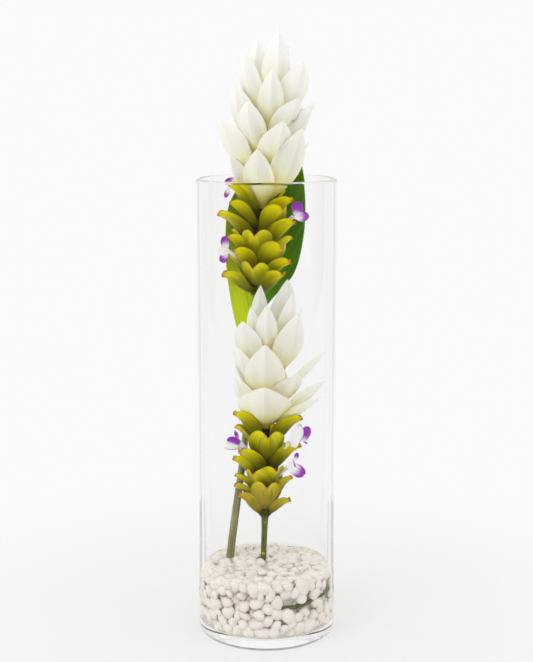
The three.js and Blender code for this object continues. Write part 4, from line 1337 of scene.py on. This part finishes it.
def cut_stones(directions, draw, number):
    """How far each stone reaches in each direction, for a stone about one across: a ball cut by flat
    faces, rounded into each other by a power sum."""
    step = np.arange(STONE_FACES) + 0.5
    tilt = np.arccos(1 - 2 * step / STONE_FACES)
    turn = np.pi * (1 + math.sqrt(5)) * step
    faces = np.stack([np.sin(tilt) * np.cos(turn), np.sin(tilt) * np.sin(turn), np.cos(tilt)], axis=1)
    faces = unit(faces[None] + draw.normal(0, FACE_SCATTER, (number, STONE_FACES, 3)))
    depth = draw.uniform(*FACE_DEPTHS, (number, 1, STONE_FACES))
    lean = np.clip(np.einsum("dk,nfk->ndf", directions, faces) / depth, 0, None)
    return (lean**STONE_ROUNDING).sum(axis=2) ** (-1 / STONE_ROUNDING)


def round_directions(rings, sides):
    """Directions all round: rings of them from low to high, then straight down and straight up."""
    tilt = np.linspace(0, np.pi, rings + 2)[1:-1][:, None]
    angle = np.linspace(0, 2 * np.pi, sides, endpoint=False)[None]
    height = np.broadcast_to(-np.cos(tilt), (rings, sides))
    ring = np.stack([np.sin(tilt) * np.cos(angle), np.sin(tilt) * np.sin(angle), height], axis=-1)
    return np.concatenate([ring.reshape(-1, 3), [[0, 0, -1.0], [0, 0, 1.0]]])


class LILY_OT_pebbles(bpy.types.Operator):
    """Fills the vase with pebbles, each a rounded stone with a few flat sides"""

    bl_idname = "lily.pebbles"
    bl_label = "Pebbles"

    def execute(self, context):
        size, fill = context.scene.lily_vase, context.scene.lily_fill
        inside = size.radius - size.wall - GLASS_GAP
        centre, ball, draw = settle_stones(size, fill)
        number = len(ball)
        level = centre * (1, 1, 0)
        far = np.linalg.norm(level, axis=1, keepdims=True)
        radial = level / np.maximum(far, 1e-9)
        at_wall = smooth(far, *[inside - depth for depth in WALL_BAND])
        at_top = smooth(centre[:, 2:], *[fill.stone_top - depth for depth in TOP_BAND])
        axes = self.turn_stones(radial * at_wall, at_top, draw)
        spreads = [draw.uniform(*spread, number) for spread in STONE_SIZES]
        scale = ball[:, None] * np.stack(spreads, axis=1) * (1 + TOP_SWELL * at_top)
        directions = round_directions(STONE_RINGS, STONE_SIDES)
        local = directions * (cut_stones(directions, draw, number)[..., None] * scale[:, None])
        points = centre[:, None] + np.einsum("ndk,nkc->ndc", local, axes)
        self.keep_inside(points, radial, inside, size.base + GLASS_GAP, fill.stone_top)
        rings = points[:, :-2].reshape(number, STONE_RINGS, STONE_SIDES, 3)
        skin = Skin()
        skin.tubes(rings, points[:, -2], points[:, -1], pick=draw.uniform(0, 1, (number, 1, 1)))
        self.add_heart(skin, inside - HEART_DEPTH, size.base + HEART_LIFT, fill.stone_top - HEART_COVER)
        skin.make("pebble_stones", stone_finish(fill), ["pebbles"])
        return {"FINISHED"}

    def turn_stones(self, outward, at_top, draw):
        """Each stone's long, wide and thin ways. They are drawn at random, but the thin way leans to
        the glass at the wall, and a little upward at the top."""
        scatter = draw.normal(0, 0.6, outward.shape)
        thin_way = unit(outward * 1.6 + np.array([0, 0, 0.25]) * at_top + scatter)
        long_way = across_direction(draw.normal(0, 1, outward.shape), thin_way)
        return np.stack([long_way, np.cross(thin_way, long_way), thin_way], axis=1)

    def keep_inside(self, points, radial, inside, low, high):
        """Shifts whole stones that reach past the glass, the floor or the top, and flattens what
        still reaches past the glass."""
        out = np.linalg.norm(points[..., :2], axis=2)
        over = np.clip((out - inside).max(axis=1), 0, None)
        points[..., :2] -= (radial[:, :2] * over[:, None])[:, None]
        out = np.linalg.norm(points[..., :2], axis=2, keepdims=True)
        points[..., :2] *= np.minimum(1, inside / out)
        points[..., 2] += np.clip(low - points[..., 2].min(axis=1), 0, None)[:, None]
        points[..., 2] -= np.clip(points[..., 2].max(axis=1) - high, 0, None)[:, None]

    def add_heart(self, skin, radius, low, high):
        """A plain drum inside the bed, which keeps the gaps between the stones light."""
        ring = revolve([(radius, low), (radius, high)], HEART_SIDES)
        skin.tubes(ring, np.array([[0, 0, low]]), np.array([[0, 0, high]]), pick=np.zeros((1, 1, 1)))


class LILY_OT_stems(bpy.types.Operator):
    """Draws both ribbed stems, the tall one straight and the short one bent round the vase's foot"""

    bl_idname = "lily.stems"
    bl_label = "Stems"

    def execute(self, context):
        plant = context.scene.lily_plant
        tall, short = stem_paths()
        radius = np.linspace(*TALL_STEM_RADII, len(tall))
        self.add_stem("stem_tall", tall, radius, plant.stem_grey, TALL_STEM_SHADE)
        share = np.linspace(0, 1, len(short))
        flare = SHORT_STEM_FLARE * np.exp(-share / 0.03)
        radius = SHORT_STEM_RADIUS + flare - SHORT_STEM_TAPER * smooth(share, 0.5, 0.7)
        self.add_stem("stem_short", short, radius, plant.stem_olive, SHORT_STEM_SHADE, STEM_MARKS)
        return {"FINISHED"}

    def add_stem(self, node, path, radius, colour, dark, marks=()):
        rings, angle = sweep(path, radius * MM, STEM_SIDES, STEM_RIBS, RIB_DEPTH)
        along = np.linspace(0, 1, len(path))[None, :, None]
        across = (angle / np.pi)[None, None]
        skin = Skin()
        skin.tubes(rings, path[:1], path[-1:], along=along, across=across)
        finish = stem_finish(node + "_skin", colour, dark, marks)
        skin.make(node + "_skin", finish, [node])


class LILY_OT_white_bracts(bpy.types.Operator):
    """Sets the white bracts round the tops of both heads"""

    bl_idname = "lily.white_bracts"
    bl_label = "White bracts"

    def execute(self, context):
        set_bracts(WHITE_SORT, petal_finish(context.scene.lily_plant))
        return {"FINISHED"}


class LILY_OT_green_bracts(bpy.types.Operator):
    """Sets the olive bracts, cupped like boats, round the lower part of both heads"""

    bl_idname = "lily.green_bracts"
    bl_label = "Green bracts"

    def execute(self, context):
        set_bracts(GREEN_SORT, green_bract_finish(context.scene.lily_plant))
        return {"FINISHED"}


class LILY_OT_florets(bpy.types.Operator):
    """Opens the small purple florets between the green bracts"""

    bl_idname = "lily.florets"
    bl_label = "Florets"

    def execute(self, context):
        finish = floret_finish(context.scene.lily_plant)
        for number, floret in enumerate(FLORETS):
            self.open_floret(floret, number, finish)
        return {"FINISHED"}

    def open_floret(self, floret, number, finish):
        """A tube on a square curve out of the head, and lobes that spread from its mouth."""
        head = GREEN_HEADS[floret["head"]]
        turn, root, reach, rise = floret["place"]
        start = head.at(root * MM, (GREEN_CORE_RADIUS - FLORET_SINK) * MM, turn)
        bend = head.at((root + 0.3 * (rise - root)) * MM, 0.55 * reach * MM, turn)
        mouth = head.at(rise * MM, reach * MM, turn)
        t = np.linspace(0, 1, TUBE_STEPS)[:, None]
        path = (1 - t) ** 2 * start + 2 * t * (1 - t) * bend + t**2 * mouth
        radius = (TUBE_RADIUS + TUBE_SWELL * smooth(t[:, 0], 0.3, 1)) * MM
        rings, _ = sweep(path, radius, TUBE_SIDES)
        skin = Skin()
        skin.tubes(rings, path[:1], path[-1:], pick=np.full((1, 1, 1), float(number)))
        sheets, values = self.spread_lobes(floret, number, mouth)
        skin.blades(sheets, LOBE_THICKNESS, **values)
        skin.make(floret["node"] + "_petals", finish, [floret["node"]], crisp=70)

    def spread_lobes(self, floret, number, mouth):
        """One sheet for each lobe. It is as wide as a sine root along it, cups forward as a square,
        and ruffles at its rim. Its purple starts towards its end or one of its edges."""
        facing = unit(np.array(floret["facing"], float))
        right = unit(np.cross(facing, (0, 0, -1.0)))
        above = np.cross(right, -facing)
        lobes = np.array(floret["lobes"], float).T[..., None, None, None]
        base = (lobes[0] * right + lobes[1] * above) * MM
        end = (lobes[2] * right + lobes[3] * above) * MM
        half, point, start_dye, side = lobes[4] * MM, lobes[5], lobes[6], lobes[7]
        length = np.linalg.norm(end - base, axis=-1, keepdims=True)
        spoke = (end - base) / length
        aside = np.cross(facing, spoke)
        along = np.linspace(0, 1, LOBE_ROWS)[None, :, None, None]
        across = np.linspace(-1, 1, LOBE_COLUMNS)[None, None, :, None]
        width = half * (0.35 + 0.65 * np.sin(np.pi / 2 * np.minimum(along / 0.6, 1)))
        width = width * np.clip(1 - np.clip((along - 0.6) / 0.41, 0, 1) ** 2.2, 0, 1) ** point
        width = np.maximum(width, 0.25 * MM)
        ruffle = 0.06 * half * np.sin(9 * across + 5 * along + number) * along**2
        fringe = 0.04 * length * np.sin(14 * across + number) * along**6
        order = np.arange(len(half))[:, None, None, None] * LOBE_SPACING
        cup = 0.16 * half * across**2 + 0.12 * length * along * (1 - 0.8 * along) + ruffle + order
        flat = spoke * (length * along + fringe) + aside * width * across
        sheets = mouth + base + flat + facing * cup
        run = np.clip(1.1 - start_dye, 0.25, 0.7)
        end_dye = smooth(along + 0.2 * abs(across) ** 3, start_dye, start_dye + run)
        side_dye = smooth(side * across, start_dye, start_dye + run) * smooth(along, 0.1, 0.35)
        dye = np.where(side == 0, end_dye, side_dye)
        spot = (start_dye > 1) * (1 - smooth(np.hypot((along - 0.22) * 4, across * 1.6), 0.35, 0.55))
        flow = {"along": along, "across": across, "pick": number + point, "dye": dye, "spot": spot}
        return sheets, spread_over(sheets, {name: value[..., 0] for name, value in flow.items()})


class LILY_OT_leaf(bpy.types.Operator):
    """Spreads the large leaf behind the upper head, bent with the glass"""

    bl_idname = "lily.leaf"
    bl_label = "Leaf"

    def execute(self, context):
        stations = np.array(LEAF_STATIONS, float)
        flat = np.zeros(len(stations))
        midrib = path_through(np.stack([stations[:, 0], flat, stations[:, 1]], 1), LEAF_ROWS, False)
        spread = path_through(stations[:, [2, 3, 1]], LEAF_ROWS, False)
        along = np.linspace(0, 1, LEAF_ROWS)[:, None]
        across = np.linspace(-1, 1, LEAF_COLUMNS)[None]
        reach = np.where(across < 0, spread[:, :1], spread[:, 1:2])
        x = midrib[:, :1] + across * np.maximum(reach, 0.5)
        bent = np.sqrt(LEAF_BEND_RADIUS**2 - x**2)
        y = LEAF_FOOT_DEPTH + (bent - LEAF_FOOT_DEPTH) * smooth(along, 0, LEAF_SETTLED)
        groove = 1.6 * np.exp(-((across / 0.06) ** 2)) * smooth(-along, -1, -0.7)
        wave = 0.5 * np.sin(12 * along + 3 * across) * across**2
        z = midrib[:, 2:] + LEAF_CUP * across**2
        sheets = np.stack([x, y + groove + wave - 0.5, z], axis=-1)[None] * MM
        thickness = (0.45 + 0.5 * np.exp(-((across / 0.05) ** 2)) * (1 - along)) * MM
        skin = Skin()
        values = spread_over(sheets, {"along": along[None], "across": across[None]})
        skin.blades(sheets, thickness[None], **values)
        leaf = leaf_finish(context.scene.lily_plant)
        skin.make("leaf_blade", leaf, ["leaf"], crisp=70)
        return {"FINISHED"}


class LILY_OT_stage(bpy.types.Operator):
    """Sets up the camera, the pale floor, the white surroundings and the soft lights"""

    bl_idname = "lily.stage"
    bl_label = "Stage"

    def execute(self, context):
        scene, stage = context.scene, context.scene.lily_stage
        camera = bpy.data.objects.new("camera", bpy.data.cameras.new("camera"))
        camera.data.lens = stage.lens
        camera.location = (0, -stage.distance, stage.height)
        camera.rotation_euler = (math.pi / 2 - stage.pitch, 0, 0)
        camera.data.clip_end = FARTHEST_VIEW
        scene.collection.objects.link(camera)
        scene.camera = camera
        self.add_light("key_light", stage.key_power, *KEY_LIGHT)
        self.add_light("fill_light", stage.fill_power, *FILL_LIGHT)
        self.add_floor(stage)
        for card in CARDS:
            self.add_card(*card)
        self.add_surroundings(scene, stage)
        scene.cycles.max_bounces = scene.cycles.transmission_bounces = LIGHT_BOUNCES
        scene.cycles.glossy_bounces = LIGHT_BOUNCES
        scene.cycles.transparent_max_bounces = CLEAR_BOUNCES
        scene.cycles.diffuse_bounces = DIFFUSE_BOUNCES
        scene.view_settings.view_transform = "Standard"
        scene.view_settings.look = "None"
        return {"FINISHED"}

    def add_light(self, name, power, place, size):
        data = bpy.data.lights.new(name, "AREA")
        data.shape = "RECTANGLE"
        data.size, data.size_y = size
        data.energy = power
        light = bpy.data.objects.new(name, data)
        light.location = place
        aim = np.array(LIGHT_AIM) - np.array(place)
        tilt = math.acos(-aim[2] / np.linalg.norm(aim))
        light.rotation_euler = (tilt, 0, math.atan2(-aim[0], aim[1]))
        light.visible_camera = False
        bpy.context.scene.collection.objects.link(light)

    def add_floor(self, stage):
        """A round floor that fades out into the surroundings at its rim."""
        angle = np.linspace(0, 2 * np.pi, FLOOR_SIDES, endpoint=False)
        points = np.stack([np.cos(angle), np.sin(angle), 0 * angle], axis=1) * FLOOR_RADIUS
        mesh = bpy.data.meshes.new("floor")
        mesh.from_pydata(points.tolist(), [], [list(range(len(angle)))])
        floor = bpy.data.objects.new("floor", mesh)
        floor.location.z = -FLOOR_DROP
        bpy.context.scene.collection.objects.link(floor)
        finish = Finish("pale_floor")
        far = finish.add("VectorMath", {"operation": "LENGTH"}, {0: finish.place()}, output="Value")
        lit = finish.add("BsdfDiffuse", None, {"Color": [FLOOR_SHADE * c for c in stage.floor]})
        glow = finish.add("Emission", None, {"Color": stage.floor, "Strength": stage.floor_glow})
        both = finish.add("AddShader", None, {0: lit, 1: glow})
        fade = finish.add("BsdfTransparent")
        mixed = finish.add("MixShader", None, {0: far.step(*FLOOR_FADE), 1: both, 2: fade})
        mesh.materials.append(finish.finish(mixed).material)

    def add_card(self, name, turns, lines, strength):
        """A grey ribbon to either side, between two turns from straight ahead. Only the glass sees
        it, and it draws the glass's edges."""
        points, faces = [], []
        for side in (-1, 1):
            first = len(points)
            for far, height in lines:
                for turn in np.radians(turns):
                    points.append((side * (CARD_START + far * math.tan(turn)), far, height))
            faces.append((first, first + 1, first + 3, first + 2))
        mesh = bpy.data.meshes.new(name)
        mesh.from_pydata(points, [], faces)
        card = bpy.data.objects.new(name, mesh)
        bpy.context.scene.collection.objects.link(card)
        card.visible_camera = card.visible_diffuse = card.visible_shadow = False
        finish = Finish(name)
        glow = finish.add("Emission", None, {"Color": CARD_COLOUR, "Strength": strength})
        mesh.materials.append(finish.finish(glow).material)

    def add_surroundings(self, scene, stage):
        """A white room, which lights the object a little less than it shows."""
        world = bpy.data.worlds.new("white_room")
        finish = Finish("white_room", world)
        lighting = finish.add("LightPath", output="Is Diffuse Ray")
        strength = 1.0 - lighting * (1.0 - stage.sky)
        shader = finish.add("Background", None, {"Color": stage.backdrop, "Strength": strength})
        finish.add("OutputWorld", None, {"Surface": shader})
        scene.world = world


class LILY_PT_panel(bpy.types.Panel):
    """Lists the steps and their settings"""

    bl_label = "White Ginger Lily"
    bl_idname = "LILY_PT_panel"
    bl_space_type = "VIEW_3D"
    bl_region_type = "UI"
    bl_category = "Lily"

    def draw(self, context):
        for operator in OPERATORS:
            self.layout.operator(operator.bl_idname)
        for name, group in SETTINGS.items():
            box = self.layout.box()
            box.label(text=group.__doc__)
            for field in group.__annotations__:
                box.prop(getattr(context.scene, name), field)


OPERATORS = [
    LILY_OT_stage,
    LILY_OT_vase,
    LILY_OT_water,
    LILY_OT_pebbles,
    LILY_OT_stems,
    LILY_OT_leaf,
    LILY_OT_white_bracts,
    LILY_OT_green_bracts,
    LILY_OT_florets,
]
CLASSES = [*SETTINGS.values(), *OPERATORS, LILY_PT_panel]


def register():
    for cls in CLASSES:
        bpy.utils.register_class(cls)
    for name, group in SETTINGS.items():
        setattr(bpy.types.Scene, name, PointerProperty(type=group))


def unregister():
    for name in SETTINGS:
        delattr(bpy.types.Scene, name)
    for cls in reversed(CLASSES):
        bpy.utils.unregister_class(cls)


def main():
    register()
    for operator in OPERATORS:
        area, step = operator.bl_idname.split(".")
        getattr(getattr(bpy.ops, area), step)()


if __name__ == "__main__":
    main()
